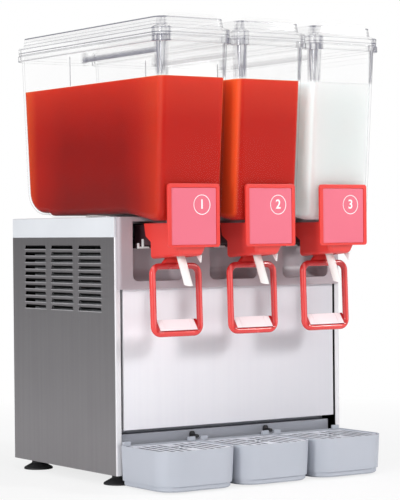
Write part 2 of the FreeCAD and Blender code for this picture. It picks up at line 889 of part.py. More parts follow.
def hook(x, side):
    """Small upright U outside an arm, level with the fascia."""
    x0, x1 = sorted((x + side * (arm_inner + arm_thickness), x + side * hook_spread))
    tip0, tip1 = sorted((x + side * hook_spread, x + side * (hook_spread - hook_bar)))
    y0 = front - hook_reach
    floor = block(x0, x1, y0, front, hook_bottom, hook_bottom + hook_bar)
    tip = block(tip0, tip1, y0, front, hook_bottom, hook_bottom + hook_height)
    return joined([floor, tip])


def tap_brackets():
    return Part.makeCompound([tap_bracket(x) for x in bowl_centres])


def hinge_pins():
    """Steel pins across the tap brackets, one for each handle."""
    half = arm_inner + arm_thickness
    pins = [rod(hinge_pin_diameter, (x - half, front - hinge_back, hinge_height), (1, 0, 0), 2 * half)
            for x in bowl_centres]
    return Part.makeCompound(pins)


def pinch_tubes():
    """Soft outlet tubes, nipped flat between the handle's nose and the bracket's ridge."""
    solids = []
    y = front - spigot_reach
    top = nose_bottom - 1.0
    sleeve_low = top - tube_sleeve_length
    radius = tube_diameter / 2
    for x in bowl_centres:
        sleeve = rod(tube_sleeve_diameter, (x, y, sleeve_low), (0, 0, 1), tube_sleeve_length)
        shank = rod(tube_diameter, (x, y, tube_bend_height), (0, 0, 1), top - tube_bend_height)
        for side in (-1, 1):
            inner = y + side * pinch_thickness / 2
            outer = y + side * (radius + 1.0)
            spread = pinch_land + pinch_slope
            nip = [(inner, pinch_height - pinch_land), (inner, pinch_height + pinch_land),
                   (outer, pinch_height + spread), (outer, pinch_height - spread)]
            shank = shank.cut(side_cut(nip, x - radius, x + radius))
        ball = Part.makeSphere(radius, V(x, y, tube_bend_height))
        way = V(0, -tube_throw, -tube_drop)
        spout = rod(tube_diameter, (x, y, tube_bend_height), tuple(way), way.Length)
        mouth = rod(tube_bore, (x, y + way.y, tube_bend_height + way.z), tuple(way * -1), way.Length * 0.7)
        socket = rod(spigot_diameter + 2 * fit_gap, (x, y, top), (0, 0, -1), tube_sleeve_length - 1.0)
        solids.append(joined([sleeve, shank, ball, spout]).cut(mouth).cut(socket))
    return Part.makeCompound(solids)


def tap_cover(x):
    """Red cover: a framed plate before the bowl, and a hood round the tap below it."""
    y0 = front - cover_reach
    z1 = cover_bottom + cover_height
    plate = block(x - cover_half_width, x + cover_half_width, y0, y0 + cover_plate, cover_bottom, z1)
    plate = rounded_edges(plate, cover_round, lambda b: b.YMax - b.YMin > cover_plate - 0.1
                          or b.YMax < y0 + 0.1)
    recess = block(x - cover_half_width + cover_frame, x + cover_half_width - cover_frame,
                   y0, y0 + cover_recess, cover_bottom + cover_frame_foot, z1 - cover_frame)
    y_front = y0 + hood_setback
    y_rear = front - hood_rear
    y_ear = front - hood_ear_rear
    z_top = nose_bottom - fit_gap
    side_view = [(y_front, hood_bottom), (y_rear, hood_bottom), (y_rear, hood_step), (y_ear, hood_step),
                 (y_ear, z_top), (y_front, z_top)]
    hood = side_cut(side_view, x - hood_half_width, x + hood_half_width)
    hood = rounded_edges(hood, hood_round, lambda b: b.ZMax < hood_bottom + 0.1 and b.XMax - b.XMin < 0.1
                         or b.ZMax < hood_bottom + 0.1 and b.YMax < y_front + 0.1)
    room = block(x - hood_half_width + hood_wall, x + hood_half_width - hood_wall, y_front + hood_wall,
                 front, hood_bottom + hood_wall, z_top)
    mouth_half = max(neck_half_width, tube_diameter / 2) + 3.0
    mouth = block(x - mouth_half, x + mouth_half, front - spigot_reach - tube_diameter - 3.0, front,
                  hood_bottom - 1.0, hood_bottom + hood_wall + 1.0)
    return joined([plate.cut(recess), hood]).cut(room).cut(mouth)


def handle(x):
    """Push handle: hinge boss, neck with the pinch nose, and the rounded loop."""
    y_loop = front - loop_reach
    y_hinge = front - hinge_back
    half = loop_half_width
    outer = loop_outline(x, half, loop_bottom, loop_top, loop_corner)
    inner = loop_outline(x, half - loop_bar, loop_bottom + loop_bar, loop_top - loop_bar * 0.75,
                         loop_corner - loop_bar * 0.55)
    y0 = y_loop - loop_depth / 2
    y1 = y_loop + loop_depth / 2
    foot = [(y1, loop_bottom), (y1 - loop_foot_depth, loop_bottom), (y1 - loop_foot_depth, loop_bottom + loop_bar),
            (y0, loop_bottom + loop_foot_height), (y0, loop_top), (y1, loop_top)]
    view = side_cut(foot, x - half, x + half)
    ring = front_cut(outer, y1 - loop_foot_depth, y1).common(view)
    ring = ring.cut(front_cut(inner, y1 - loop_foot_depth - 1.0, y1 + 1.0))
    ring = softened(ring, y1)
    boss = rod(hinge_boss_diameter, (x - neck_half_width, y_hinge, hinge_height), (1, 0, 0), 2 * neck_half_width)
    neck_front = y_hinge - neck_depth / 2
    neck = [(neck_front, hinge_height), (neck_front + neck_depth, hinge_height),
            (neck_front + neck_depth, loop_top + 6.0), (y1, loop_top - loop_bar * 0.4),
            (y0, loop_top - loop_bar * 0.4), (neck_front, loop_top + 4.0)]
    stem = side_cut(neck, x - neck_half_width, x + neck_half_width)
    foot_low = loop_top - loop_bar * 0.4
    flare = front_cut([(x - neck_half_width, loop_top + 5.0), (x + neck_half_width, loop_top + 5.0),
                       (x + neck_foot_half_width, foot_low), (x - neck_foot_half_width, foot_low)],
                      neck_front + 1.0, y1 - 0.5)
    nip = front - spigot_reach + pinch_thickness / 2 + fit_gap
    root_half = pinch_land + pinch_slope
    nose_view = [(neck_front + 1.0, pinch_height + root_half), (nip, pinch_height + pinch_land),
                 (nip, pinch_height - pinch_land), (neck_front + 1.0, pinch_height - root_half)]
    wedge = side_cut(nose_view, x - neck_half_width, x + neck_half_width)
    tail_low = hinge_height - tail_thickness / 2
    tail = block(x - tail_half_width, x + tail_half_width, y_hinge, y_hinge + tail_reach,
                 tail_low, tail_low + tail_thickness)
    gussets = []
    for side in (-1, 1):
        inside = half - loop_bar
        x0, x1 = sorted((x + side * (inside + 1.0), x + side * (inside - gusset_thickness)))
        y_low = y1 - loop_foot_depth + 2.0
        z_low = loop_bottom + loop_bar
        web = [(y_low, z_low - 1.0), (y_low, z_low), (y_low + pad_run, z_low + pad_rise),
               (y1 - 0.5, z_low + pad_rise), (y1 - 0.5, z_low - 1.0)]
        gussets.append(side_cut(web, x0, x1))
    bore = rod(hinge_pin_diameter + 2 * running_fit, (x - half, y_hinge, hinge_height), (1, 0, 0), 2 * half)
    return joined([ring, boss, stem, flare, wedge, tail] + gussets).cut(bore)


def softened(ring, y1):
    """Round the long edges of the loop where a hand or a cup meets it."""
    try_edges = [e for e in ring.Edges if e.BoundBox.YMax > y1 - 0.1 and e.BoundBox.YMin > y1 - 0.1]
    return ring.makeFillet(1.6, try_edges)


def loop_outline(x, half, z0, z1, r):
    turn = math.sqrt(0.5)
    points = []
    for sx, sz in ((1, 1), (-1, 1), (-1, -1), (1, -1)):
        cx = x + sx * (half - r)
        cz = (z1 if sz > 0 else z0) - sz * r
        on_side = (cx + sx * r, cz)
        on_end = (cx, cz + sz * r)
        first, last = (on_side, on_end) if sx * sz > 0 else (on_end, on_side)
        points.append(first)
        points.append(((cx + sx * r * turn, cz + sz * r * turn), last))
    return points


def cup_pad(x):
    """Pale slanting plate in the foot of the loop, which a cup is pushed against."""
    y1 = front - loop_reach + loop_depth / 2
    y_low = y1 - loop_foot_depth + 2.0
    gap = fit_gap / 3
    z_low = loop_bottom + loop_bar + gap
    half = loop_half_width - loop_bar - gusset_thickness - gap
    foot = pad_thickness * math.sqrt(2)
    plate = [(y_low, z_low), (y_low + foot, z_low), (y_low + pad_run + foot, z_low + pad_rise),
             (y_low + pad_run, z_low + pad_rise)]
    pad = side_cut(plate, x - half, x + half)
    inner = loop_outline(x, loop_half_width - loop_bar - gap, z_low, loop_top, loop_corner - loop_bar * 0.55)
    return pad.common(front_cut(inner, y_low - 1.0, y1 + 1.0))


def spring_heights():
    """Lower and upper seat of the tap spring."""
    low = hinge_height + tail_thickness / 2 + spring_seat_gap
    high = arm_top - bracket_plate - spring_seat_gap
    return low, high


def tap_spring(x):
    """The space that the hidden coil fills between the handle's tail and the bracket's roof."""
    low, high = spring_heights()
    start = (x, front - hinge_back + spring_back, low)
    coil = rod(spring_diameter, start, (0, 0, 1), high - low)
    return coil.cut(rod(spring_diameter - 2 * spring_wire, start, (0, 0, 1), high - low))


# Drip tray and grid of one bowl
def tray_wire(x, inset, z, lower):
    """Plan of the tray: wide round front corners, tight rear ones."""
    half = tray_half_width - inset - lower
    y0 = front - tray_reach + inset + lower
    y1 = front - tray_rear_gap - inset
    r = tray_corner - inset - lower
    tight = max(tray_rear_corner - inset, 0.8)
    points = rounded_points(x - half, x + half, y0, y1, [tight, tight, r, r])
    return outline(points, lambda px, py: V(px, py, z)).OuterWire


def drip_tray(x):
    """Deep tray that stands against the rail, with a set-in skirt and rear ears."""
    z0 = tray_bottom
    z_skirt = z0 + tray_skirt_height
    top = tray_front_rim
    low = tray_skirt_inset + tray_draft
    skirt = stack([tray_wire(x, 0.0, z0 + 2.0, low), tray_wire(x, 0.0, z_skirt, low)])
    heel = stack([tray_wire(x, 0.0, z0, low + 2.0), tray_wire(x, 0.0, z0 + 2.0, low)])
    body = stack([tray_wire(x, 0.0, z_skirt, tray_draft), tray_wire(x, 0.0, top, 0.0)])
    t = tray_wall
    lower_room = stack([tray_wire(x, t, z0 + t, low), tray_wire(x, t, z_skirt + t, low)])
    ledge = top - tray_ledge_drop
    upper_room = stack([tray_wire(x, t + tray_ledge_width, z_skirt + t, tray_draft),
                        tray_wire(x, t + tray_ledge_width, ledge, 0.0)])
    seat = stack([tray_wire(x, t, ledge, 0.0), tray_wire(x, t, top + 1.0, 0.0)])
    ears = []
    y1 = front - tray_rear_gap
    for side in (-1, 1):
        edge = x + side * tray_half_width
        inner = edge - side * ear_width
        points = [(edge, top - 1.0), (edge, peg_height - peg_diameter / 2 - ear_peg_gap),
                  (edge - side * (peg_diameter / 2 + ear_peg_gap), peg_height - peg_diameter / 2 - ear_peg_gap),
                  (edge - side * (peg_diameter / 2 + ear_peg_gap), top + ear_height),
                  (inner + side * 4.0, top + ear_height), (inner, top - 1.0)]
        ears.append(front_cut(points, y1 - ear_thickness, y1))
    tray = joined([heel, skirt, body]).cut(lower_room).cut(upper_room).cut(seat)
    return joined([tray] + ears)


def drip_grid(x):
    """Slotted grid that lies in the tray's ledge, with a round hub under the outlet."""
    inset = tray_wall + grid_gap
    z0 = tray_front_rim - tray_ledge_drop + fit_gap / 3
    z1 = z0 + grid_thickness
    y_low = front - tray_reach + inset
    y_high = front - tray_rear_gap - inset - ear_thickness
    r = tray_corner - inset
    half = tray_half_width - inset
    plate = plan_cut(rounded_points(x - half, x + half, y_low, y_high, [2.0, 2.0, r, r]), z0, z1)
    cx, cy = x, (y_low + y_high) / 2
    reach = (y_high - y_low) / 2 - grid_rim
    pitch = (2 * half - 2 * grid_rim) / grid_slots
    slots = []
    hub = rod(2 * grid_hub_radius, (cx, cy, z0 - 1.0), (0, 0, 1), grid_thickness + 2.0)
    cross = block(x - half, x + half, cy - 2.0, cy + 2.0, z0 - 1.0, z1 + 1.0)
    for i in range(grid_slots + 1):
        sx = x - half + grid_rim + i * pitch
        corner = r - (half - abs(sx - x)) if abs(sx - x) > half - r else 0.0
        front_trim = r - math.sqrt(max(r ** 2 - corner ** 2, 0.0)) if corner > 0 else 0.0
        slot = block(sx - grid_slot_width / 2, sx + grid_slot_width / 2, cy - reach + front_trim, cy + reach,
                     z0, z1)
        slots.append(slot.cut(hub).cut(cross))
    for slot in slots[1:-1]:
        plate = plate.cut(slot)
    for i in range(grid_spokes):
        angle = 360.0 / grid_spokes * i
        drain = block(cx + 4.0, cx + grid_hub_radius - 2.0, cy - 0.8, cy + 0.8, z0, z1)
        drain.rotate(V(cx, cy, 0), V(0, 0, 1), angle)
        plate = plate.cut(drain)
    return plate


# Refrigeration
def condenser():
    """Finned block behind the left louvres, on two legs; its fins are pressed close together."""
    x0 = -cabinet_half + sheet + louvre_lean + condenser_side_gap
    x1 = x0 + condenser_thickness
    y0, y1 = front + condenser_front, front + condenser_rear
    z0, z1 = condenser_bottom, condenser_top
    frame = block(x0, x1, y0, y1, z0, z1)
    pieces = [frame]
    for side in (0, 1):
        face = x0 if side == 0 else x1 - condenser_inset
        recess = block(face, face + condenser_inset, y0 + condenser_rim, y1 - condenser_rim,
                       z0 + condenser_rim, z1 - condenser_rim)
        pieces[0] = pieces[0].cut(recess)
    for y in (y0, y1 - condenser_leg):
        pieces.append(block(x0 + 4.0, x1 - 4.0, y, y + condenser_leg, foot_height + sheet, z0))
    return joined(pieces)


def fan_frame_x():
    return -cabinet_half + sheet + louvre_lean + condenser_side_gap + condenser_thickness + fan_gap


def fan_middle():
    y = front + (condenser_front + condenser_rear) / 2
    z = (condenser_bottom + condenser_top) / 2
    return y, z


def fan_frame():
    """Plate with the fan's opening and four arms that hold the motor."""
    x0 = fan_frame_x()
    y, z = fan_middle()
    half_y = (condenser_rear - condenser_front) / 2
    plate = block(x0, x0 + fan_plate, y - half_y, y + half_y, foot_height + sheet, condenser_top + 2.0)
    plate = plate.cut(rod(fan_opening, (x0, y, z), (1, 0, 0), fan_plate))
    ring = rod(fan_opening + 4.0, (x0, y, z), (1, 0, 0), 26.0)
    ring = ring.cut(rod(fan_opening, (x0, y, z), (1, 0, 0), 26.0))
    arms = []
    reach = fan_opening / 2 + 2.0
    for angle in (45, 135, 225, 315):
        arm = block(x0 + 23.0, x0 + 26.0, y + fan_motor_diameter / 2, y + reach, z - fan_arm / 2, z + fan_arm / 2)
        arm.rotate(V(0, y, z), V(1, 0, 0), angle)
        arms.append(arm)
    collar = rod(fan_motor_diameter + 8.0, (x0 + 23.0, y, z), (1, 0, 0), 3.0)
    collar = collar.cut(rod(fan_motor_diameter - 16.0, (x0 + 23.0, y, z), (1, 0, 0), 3.0))
    return joined([plate, ring, collar] + arms)


def fan_motor():
    x0 = fan_frame_x() + 26.0
    y, z = fan_middle()
    can = rod(fan_motor_diameter, (x0, y, z), (1, 0, 0), fan_motor_length)
    can = rounded_edges(can, 4.0, lambda b: b.XMin > x0 + fan_motor_length - 0.1)
    boss = rod(fan_motor_diameter - 17.0, (x0 - 3.0, y, z), (1, 0, 0), 3.0)
    shaft = rod(fan_shaft_diameter, (x0 - fan_shaft_reach, y, z), (1, 0, 0), fan_shaft_reach)
    return joined([can, boss, shaft])


def fan_wheel():
    x0 = fan_frame_x() + 6.0
    y, z = fan_middle()
    hub = rod(fan_hub_diameter, (x0, y, z), (1, 0, 0), 13.0)
    hub = rounded_edges(hub, 3.0, lambda b: b.XMax < x0 + 0.1)
    blades = []
    for i in range(fan_blades):
        blade = block(-fan_blade_thickness / 2, fan_blade_thickness / 2, fan_hub_diameter / 2 - 3.0,
                      fan_diameter / 2, -17.0, 17.0)
        tip = rod(fan_diameter, (-10.0, 0, 0), (1, 0, 0), 20.0)
        blade.rotate(V(0, 0, 0), V(0, 1, 0), 68)
        blade = blade.common(tip).common(block(-6.0, 6.0, -fan_diameter, fan_diameter, -fan_diameter, fan_diameter))
        blade.rotate(V(0, 0, 0), V(1, 0, 0), 360.0 / fan_blades * i)
        blade.translate(V(x0 + 6.5, y, z))
        blades.append(blade)
    bore = rod(fan_shaft_diameter + 2 * running_fit, (x0 + 1.5, y, z), (1, 0, 0), 20.0)
    return joined([hub] + blades).cut(bore)


def compressor():
    """Welded steel can on its mounting plate and rubber grommets."""
    x, y = compressor_x, front + compressor_back
    z0 = foot_height + sheet
    solids = []
    z1 = z0 + compressor_rubber_height
    can = rod(2 * compressor_radius, (x, y, z1 + compressor_plate), (0, 0, 1), compressor_height)
    can = rounded_edges(can, 24.0, lambda b: b.ZMin > z1 + compressor_height)
    seam_z = z1 + compressor_plate + compressor_height * 0.55
    seam = rod(2 * compressor_radius + 6.0, (x, y, seam_z), (0, 0, 1), 4.0)
    spread = compressor_radius + 12.0
    plate = rounded_block(x - spread, x + spread, y - spread * 0.7, y + spread * 0.7, z1, z1 + compressor_plate, 14.0)
    terminal = rounded_block(x - 22.0, x + 22.0, y - compressor_radius - 18.0, y - compressor_radius + 14.0,
                             z1 + compressor_height * 0.29, z1 + compressor_height * 0.565, 5.0)
    solids.append(joined([can, seam, plate, terminal]))
    for sx in (-1, 1):
        for sy in (-1, 1):
            place_x = x + sx * (spread - 14.0)
            place_y = y + sy * (spread * 0.7 - 14.0)
            rubber = rod(compressor_rubber_diameter, (place_x, place_y, z0), (0, 0, 1), compressor_rubber_height)
            solids.append(rubber)
    return Part.makeCompound(solids)


def filter_dryer():
    """Copper filter on the pipe between the condenser and the evaporators."""
    x = fan_frame_x() - fan_gap + 64.0
    y = rear - 34.0
    z0 = foot_height + sheet + 60.0
    can = rod(dryer_diameter, (x, y, z0), (0, 0, 1), dryer_length)
    can = rounded_edges(can, 7.0, lambda b: b.ZMax - b.ZMin < 0.1)
    stub_low = rod(pipe_diameter, (x, y, foot_height + sheet), (0, 0, 1), z0 - foot_height)
    stub_high = rod(pipe_diameter, (x, y, z0 + dryer_length - 1.0), (0, 0, 1), 60.0)
    return joined([can, stub_low, stub_high])


def suction_pipe():
    """Bent copper pipe from the compressor up to the deck."""
    x, y = compressor_x, front + compressor_back
    z0 = foot_height + sheet + compressor_rubber_height + compressor_plate + compressor_height
    route = [(x, y, z0), (x, y, z0 + pipe_rise), (x - pipe_shift, y, z0 + pipe_rise),
             (x - pipe_shift, y, deck_top - deck_wall)]
    return bent_tube(route, pipe_bend, pipe_diameter)


# Controls
def control_panel():
    """Recessed pan in the rear cover that keeps the controls inside the outline."""
    hw, hh = control_width / 2 - fit_gap, control_height / 2 - fit_gap
    z = control_middle_height
    y0 = rear - control_recess - deck_wall
    outer = block(-hw, hw, y0, rear, z - hh, z + hh)
    inner = block(-hw + deck_wall, hw - deck_wall, y0 + deck_wall, rear, z - hh + deck_wall, z + hh - deck_wall)
    pan = outer.cut(inner)
    for x in switch_places():
        opening = block(x - switch_width / 2 - switch_gap, x + switch_width / 2 + switch_gap, y0 - 1.0,
                        y0 + deck_wall + 1.0, z - switch_height / 2 - switch_gap, z + switch_height / 2 + switch_gap)
        pan = pan.cut(opening)
    body = block(-control_width / 2 + 10.0, 6.0, y0 - 16.0, y0, z - 20.0, z + 20.0)
    room = block(-control_width / 2 + 12.0, 4.0, y0 - 14.0, y0, z - 18.0, z + 18.0)
    shaft = rod(knob_shaft_diameter, (knob_x(), y0 + deck_wall, z), (0, 1, 0), knob_height * 0.7)
    return joined([pan, body.cut(room), shaft])


def switch_places():
    first = -control_width / 2 + 30.0
    return [first, first + switch_spacing]


def knob_x():
    return control_width / 2 - 36.0


def rocker(x):
    """Rocker switch, resting with its lower end pressed in."""
    z = control_middle_height
    y_pivot = rear - control_recess - deck_wall
    hw, hh = switch_width / 2, switch_height / 2 - 1.2
    section = [(y_pivot - 6.0, z - hh + 4.0), (y_pivot + 5.6, z - hh), (y_pivot + 3.6, z), (y_pivot + 5.6, z + hh),
               (y_pivot - 6.0, z + hh - 4.0)]
    body = side_cut(section, x - hw, x + hw)
    body.rotate(V(0, y_pivot, z), V(1, 0, 0), switch_tilt)
    return body


def temperature_knob():
    x, z = knob_x(), control_middle_height
    y0 = rear - control_recess + fit_gap
    knob = rod(knob_diameter, (x, y0, z), (0, 1, 0), knob_height)
    knob = rounded_edges(knob, 2.0, lambda b: b.YMin > y0 + knob_height - 0.1)
    for i in range(knob_flutes):
        flute = rod(knob_flute, (x + knob_diameter / 2 + knob_flute / 4, y0 + 3.0, z), (0, 1, 0), knob_height)
        flute.rotate(V(x, 0, z), V(0, 1, 0), 360.0 / knob_flutes * (i + 0.5))
        knob = knob.cut(flute)
    pointer = block(x - 0.8, x + 0.8, y0 + knob_height - 0.8, y0 + knob_height, z + 3.0, z + knob_diameter / 2)
    bore = rod(knob_shaft_diameter + 2 * running_fit, (x, y0, z), (0, 1, 0), knob_height * 0.7 + 1.0)
    return knob.cut(pointer).cut(bore)


def inlet_box(wall, grow):
    """Space that the mains inlet takes up, or its inside for a smaller wall."""
    x = -cabinet_half + inlet_from_side
    hw = inlet_width / 2 + wall + grow
    hh = inlet_height / 2 + wall + grow
    return block(x - hw, x + hw, rear - inlet_depth - wall, rear, inlet_middle_height - hh, inlet_middle_height + hh)


def power_inlet():
    """Bare appliance inlet: a socket with three pins, for a separate lead."""
    x = -cabinet_half + inlet_from_side
    z = inlet_middle_height
    body = inlet_box(inlet_wall, 0.0)
    flange = block(x - inlet_width / 2 - 8.0, x + inlet_width / 2 + 8.0, rear, rear + 1.6,
                   z - inlet_height / 2 - 4.0, z + inlet_height / 2 + 4.0)
    hollow = block(x - inlet_width / 2, x + inlet_width / 2, rear - inlet_depth, rear + 2.0,
                   z - inlet_height / 2, z + inlet_height / 2)
    pins = []
    for dx, dz in ((-7.0, -3.0), (0.0, 3.0), (7.0, -3.0)):
        pins.append(block(x + dx - 1.0, x + dx + 1.0, rear - inlet_depth - 0.5, rear - 7.0, z + dz - 2.0, z + dz + 2.0))
    return joined([body, flange]).cut(hollow).fuse(pins).removeSplitter()


def main():
    shapes = {
        "base_pan": base_pan(),
        "feet": feet(),
        "side_panel_left": side_panel(-1),
        "side_panel_right": side_panel(1),
        "front_panel": front_panel(),
        "rear_panel": rear_panel(),
        "panel_screws": panel_screws(),
        "tray_rail": rail(),
        "tray_pegs": tray_pegs(),
        "top_deck": top_deck(),
        "front_fascia": front_fascia(),
        "bowl_seals": bowl_seals(),
        "stirrer_motors": stirrer_motors(),
        "tap_brackets": tap_brackets(),
        "hinge_pins": hinge_pins(),
        "pinch_tubes": pinch_tubes(),
        "condenser": condenser(),
        "fan_frame": fan_frame(),
        "fan_motor": fan_motor(),
        "fan_wheel": fan_wheel(),
        "compressor": compressor(),
        "filter_dryer": filter_dryer(),
        "suction_pipe": suction_pipe(),
        "control_panel": control_panel(),
        "power_switch": rocker(switch_places()[0]),
        "stirrer_switch": rocker(switch_places()[1]),
        "temperature_knob": temperature_knob(),
        "power_inlet": power_inlet(),
    }
    for number, x in enumerate(bowl_centres, start=1):
        shapes["evaporator_%d" % number] = evaporator(x)
        shapes["stirrer_%d" % number] = stirrer(x)
        shapes["bowl_%d" % number] = bowl(x)
        shapes["lid_%d" % number] = lid(x)
        shapes["tap_cover_%d" % number] = tap_cover(x)
        shapes["tap_handle_%d" % number] = handle(x)
        shapes["cup_pad_%d" % number] = cup_pad(x)
        shapes["tap_spring_%d" % number] = tap_spring(x)
        shapes["drip_tray_%d" % number] = drip_tray(x)
        shapes["drip_grid_%d" % number] = drip_grid(x)
    os.makedirs("parts", exist_ok=True)
    for name, shape in shapes.items():
        solids = shape.Solids
        valid = all(solid.isValid() for solid in solids)
        print(name, len(solids), "solids", "valid" if valid else "NOT VALID", round(shape.Volume))
        shape.exportStep(os.path.join("parts", name + ".step"))


main()
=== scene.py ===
# %% [markdown]
# # A chilled juice dispenser
# Three clear bowls of drink stand in a row on a sheet steel cabinet. Each has a red push tap and a drip
# tray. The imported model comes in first. It gives every place in metres, and it is never moved. New pieces
# are then modelled over it where the real machine is moulded, rounded or clear.

# %% Load the model and keep its box
import bmesh
import bpy
import json
import math
from mathutils import Matrix, Vector


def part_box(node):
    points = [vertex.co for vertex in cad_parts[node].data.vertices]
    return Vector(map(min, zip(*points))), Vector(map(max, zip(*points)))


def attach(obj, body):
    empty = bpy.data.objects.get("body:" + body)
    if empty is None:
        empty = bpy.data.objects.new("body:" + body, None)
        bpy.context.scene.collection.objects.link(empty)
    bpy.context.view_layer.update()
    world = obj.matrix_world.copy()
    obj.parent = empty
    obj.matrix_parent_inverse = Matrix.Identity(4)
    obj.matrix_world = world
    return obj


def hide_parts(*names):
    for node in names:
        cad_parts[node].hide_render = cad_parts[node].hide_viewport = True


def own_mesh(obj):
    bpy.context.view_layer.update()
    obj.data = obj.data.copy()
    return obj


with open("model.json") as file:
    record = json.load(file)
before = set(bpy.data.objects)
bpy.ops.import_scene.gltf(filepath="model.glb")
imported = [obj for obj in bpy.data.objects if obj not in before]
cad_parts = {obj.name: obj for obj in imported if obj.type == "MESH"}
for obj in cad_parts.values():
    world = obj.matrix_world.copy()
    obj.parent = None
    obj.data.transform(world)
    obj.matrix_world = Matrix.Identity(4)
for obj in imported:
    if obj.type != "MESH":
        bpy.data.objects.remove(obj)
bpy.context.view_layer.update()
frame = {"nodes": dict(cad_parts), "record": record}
MM = 0.001


def span(node):
    """A node's low and high corners in millimetres."""
    low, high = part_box(node)
    return Vector(low) / MM, Vector(high) / MM


numbers = [1, 2, 3]
centres = [(span(f"bowl_{n}")[0].x + span(f"bowl_{n}")[1].x) / 2 for n in numbers]
x = centres[0]
front = span("front_panel")[0].y
deck_top = span("top_deck")[1].z
print("bowls at", [round(x) for x in centres], "front", round(front), "deck", round(deck_top))

# %% [markdown]
# ## Starting a piece
# Every piece starts as a primitive between two corners, in millimetres, and is shaped in edit mode as by
# hand. A mesh could also be typed in as lists of points, but then nobody could see how it was thought out.

# %% Start a piece
def rest():
    """Leave edit mode with nothing selected."""
    if bpy.context.object and bpy.context.object.mode == "EDIT":
        bpy.ops.object.mode_set(mode="OBJECT")
    bpy.ops.object.select_all(action="DESELECT")


def opened(name):
    """Name the newest piece, settle its place into its mesh, and open it."""
    piece = bpy.context.object
    piece.name = piece.data.name = name
    bpy.ops.object.transform_apply()
    bpy.ops.object.mode_set(mode="EDIT")
    bpy.ops.mesh.select_all(action="DESELECT")
    return piece


def box_start(name, low, high):
    """A box between two corners."""
    rest()
    low, high = Vector(low) * MM, Vector(high) * MM
    bpy.ops.mesh.primitive_cube_add(size=1, location=(low + high) / 2, scale=high - low)
    return opened(name)


def slab(name, half, y0, y1, z0, z1, cx=x):
    """A box across a middle line, by default the first bowl's, where one of each three is made."""
    return box_start(name, (cx - half, y0, z0), (cx + half, y1, z1))


def disc_start(name, radius, low, high, sides, axis="Z"):
    """A round bar from one end's middle to the other's, along x, y or z."""
    rest()
    turn = {"X": (0, math.pi / 2, 0), "Y": (math.pi / 2, 0, 0), "Z": (0, 0, 0)}[axis]
    low, high = Vector(low) * MM, Vector(high) * MM
    bpy.ops.mesh.primitive_cylinder_add(vertices=sides, radius=radius * MM, depth=(high - low).length,
                                        location=(low + high) / 2, rotation=turn)
    return opened(name)


print("a piece can be started")

# %% [markdown]
# ## Choosing parts of it
# The corners, edges or faces to work on are chosen by where they are or which way they face. That keeps
# working when a size changes, which choosing them by number doesn't.

# %% Choose parts of a piece
class Edge:
    """An edge as a maker sees it: its middle, its way, and where its faces look."""

    def __init__(self, edge):
        a, b = (v.co / MM for v in edge.verts)
        self.middle = (a + b) / 2
        self.way = (b - a).normalized()
        self.sides = [face.normal for face in edge.link_faces]

    def between(self, first, second):
        """True where one face passes the first test and the other the second."""
        if len(self.sides) < 2:
            return False
        a, b = self.sides[:2]
        return first(a) and second(b) or first(b) and second(a)


def pick(kind, rule):
    """Select what a rule holds for: points by place, edges as an Edge, faces by middle and normal."""
    bpy.ops.mesh.select_mode(type=kind)
    bpy.ops.mesh.select_all(action="DESELECT")
    mesh = bmesh.from_edit_mesh(bpy.context.object.data)
    if kind == "VERT":
        items = [(v, rule(v.co / MM)) for v in mesh.verts]
    elif kind == "EDGE":
        items = [(e, rule(Edge(e))) for e in mesh.edges]
    else:
        items = [(f, rule(f.calc_center_median() / MM, f.normal)) for f in mesh.faces]
    for item, wanted in items:
        if wanted:
            item.select_set(True)
    mesh.select_flush_mode()
    bmesh.update_edit_mesh(bpy.context.object.data)


def pick_points(rule=lambda p: True):
    pick("VERT", rule)


def pick_edges(axis, rule=lambda middle: True):
    """Select edges that run along an axis and whose middle passes a rule."""
    i = "XYZ".index(axis)
    pick("EDGE", lambda g: abs(g.way[i]) > 0.9 and rule(g.middle))


def pick_faces(way, rule=lambda middle: True):
    """Select faces that look one way, such as -Z, and whose middle passes a rule."""
    sign, i = (-1 if way[0] == "-" else 1), "XYZ".index(way[1])
    pick("FACE", lambda c, n: n[i] * sign > 0.9 and rule(c))


def chosen_box():
    """The low and high corners of what is selected."""
    mesh = bmesh.from_edit_mesh(bpy.context.object.data)
    points = [v.co / MM for v in mesh.verts if v.select]
    return (Vector([min(p[i] for p in points) for i in range(3)]),
            Vector([max(p[i] for p in points) for i in range(3)]))


print("parts can be chosen")

# %% [markdown]
# ## Shaping it
# These are the moves that a modeller makes with the keyboard: move, stretch, extrude, inset, cut and bevel.
# Modifiers do the rest, and each is applied at once, so that what is seen is the mesh itself.

# %% Shape what is chosen
def shift(y=0, z=0):
    bpy.ops.transform.translate(value=(0, y * MM, z * MM))


def fit(low, high):
    """Stretch and move what is selected to fill two corners."""
    a, b = chosen_box()
    low, high = Vector(low), Vector(high)
    scale = [(high[i] - low[i]) / (b[i] - a[i]) if b[i] - a[i] > 1e-4 else 1.0 for i in range(3)]
    middle = (a + b) / 2 * MM
    bpy.ops.transform.resize(value=scale, center_override=middle)
    bpy.ops.transform.translate(value=(low + high) / 2 * MM - middle)


def fit_slab(half, y0, y1, z0, z1):
    fit((x - half, y0, z0), (x + half, y1, z1))


def turn_by(angle, axis, centre):
    bpy.ops.transform.rotate(value=angle, orient_axis=axis, center_override=Vector(centre) * MM)


def push(y=0, z=0):
    """Extrude what is selected and move it."""
    bpy.ops.mesh.extrude_region_move(TRANSFORM_OT_translate={"value": (0, y * MM, z * MM)})


def inset(width):
    bpy.ops.mesh.inset(thickness=width * MM, use_even_offset=True)


def open_up():
    """Take the selected faces away."""
    bpy.ops.mesh.delete(type="FACE")


def slice_at(axis, *places):
    """Cut the whole mesh by planes across an axis."""
    way = Vector([axis == name for name in "XYZ"])
    for place in places:
        bpy.ops.mesh.select_all(action="SELECT")
        bpy.ops.mesh.bisect(plane_co=way * place * MM, plane_no=way)


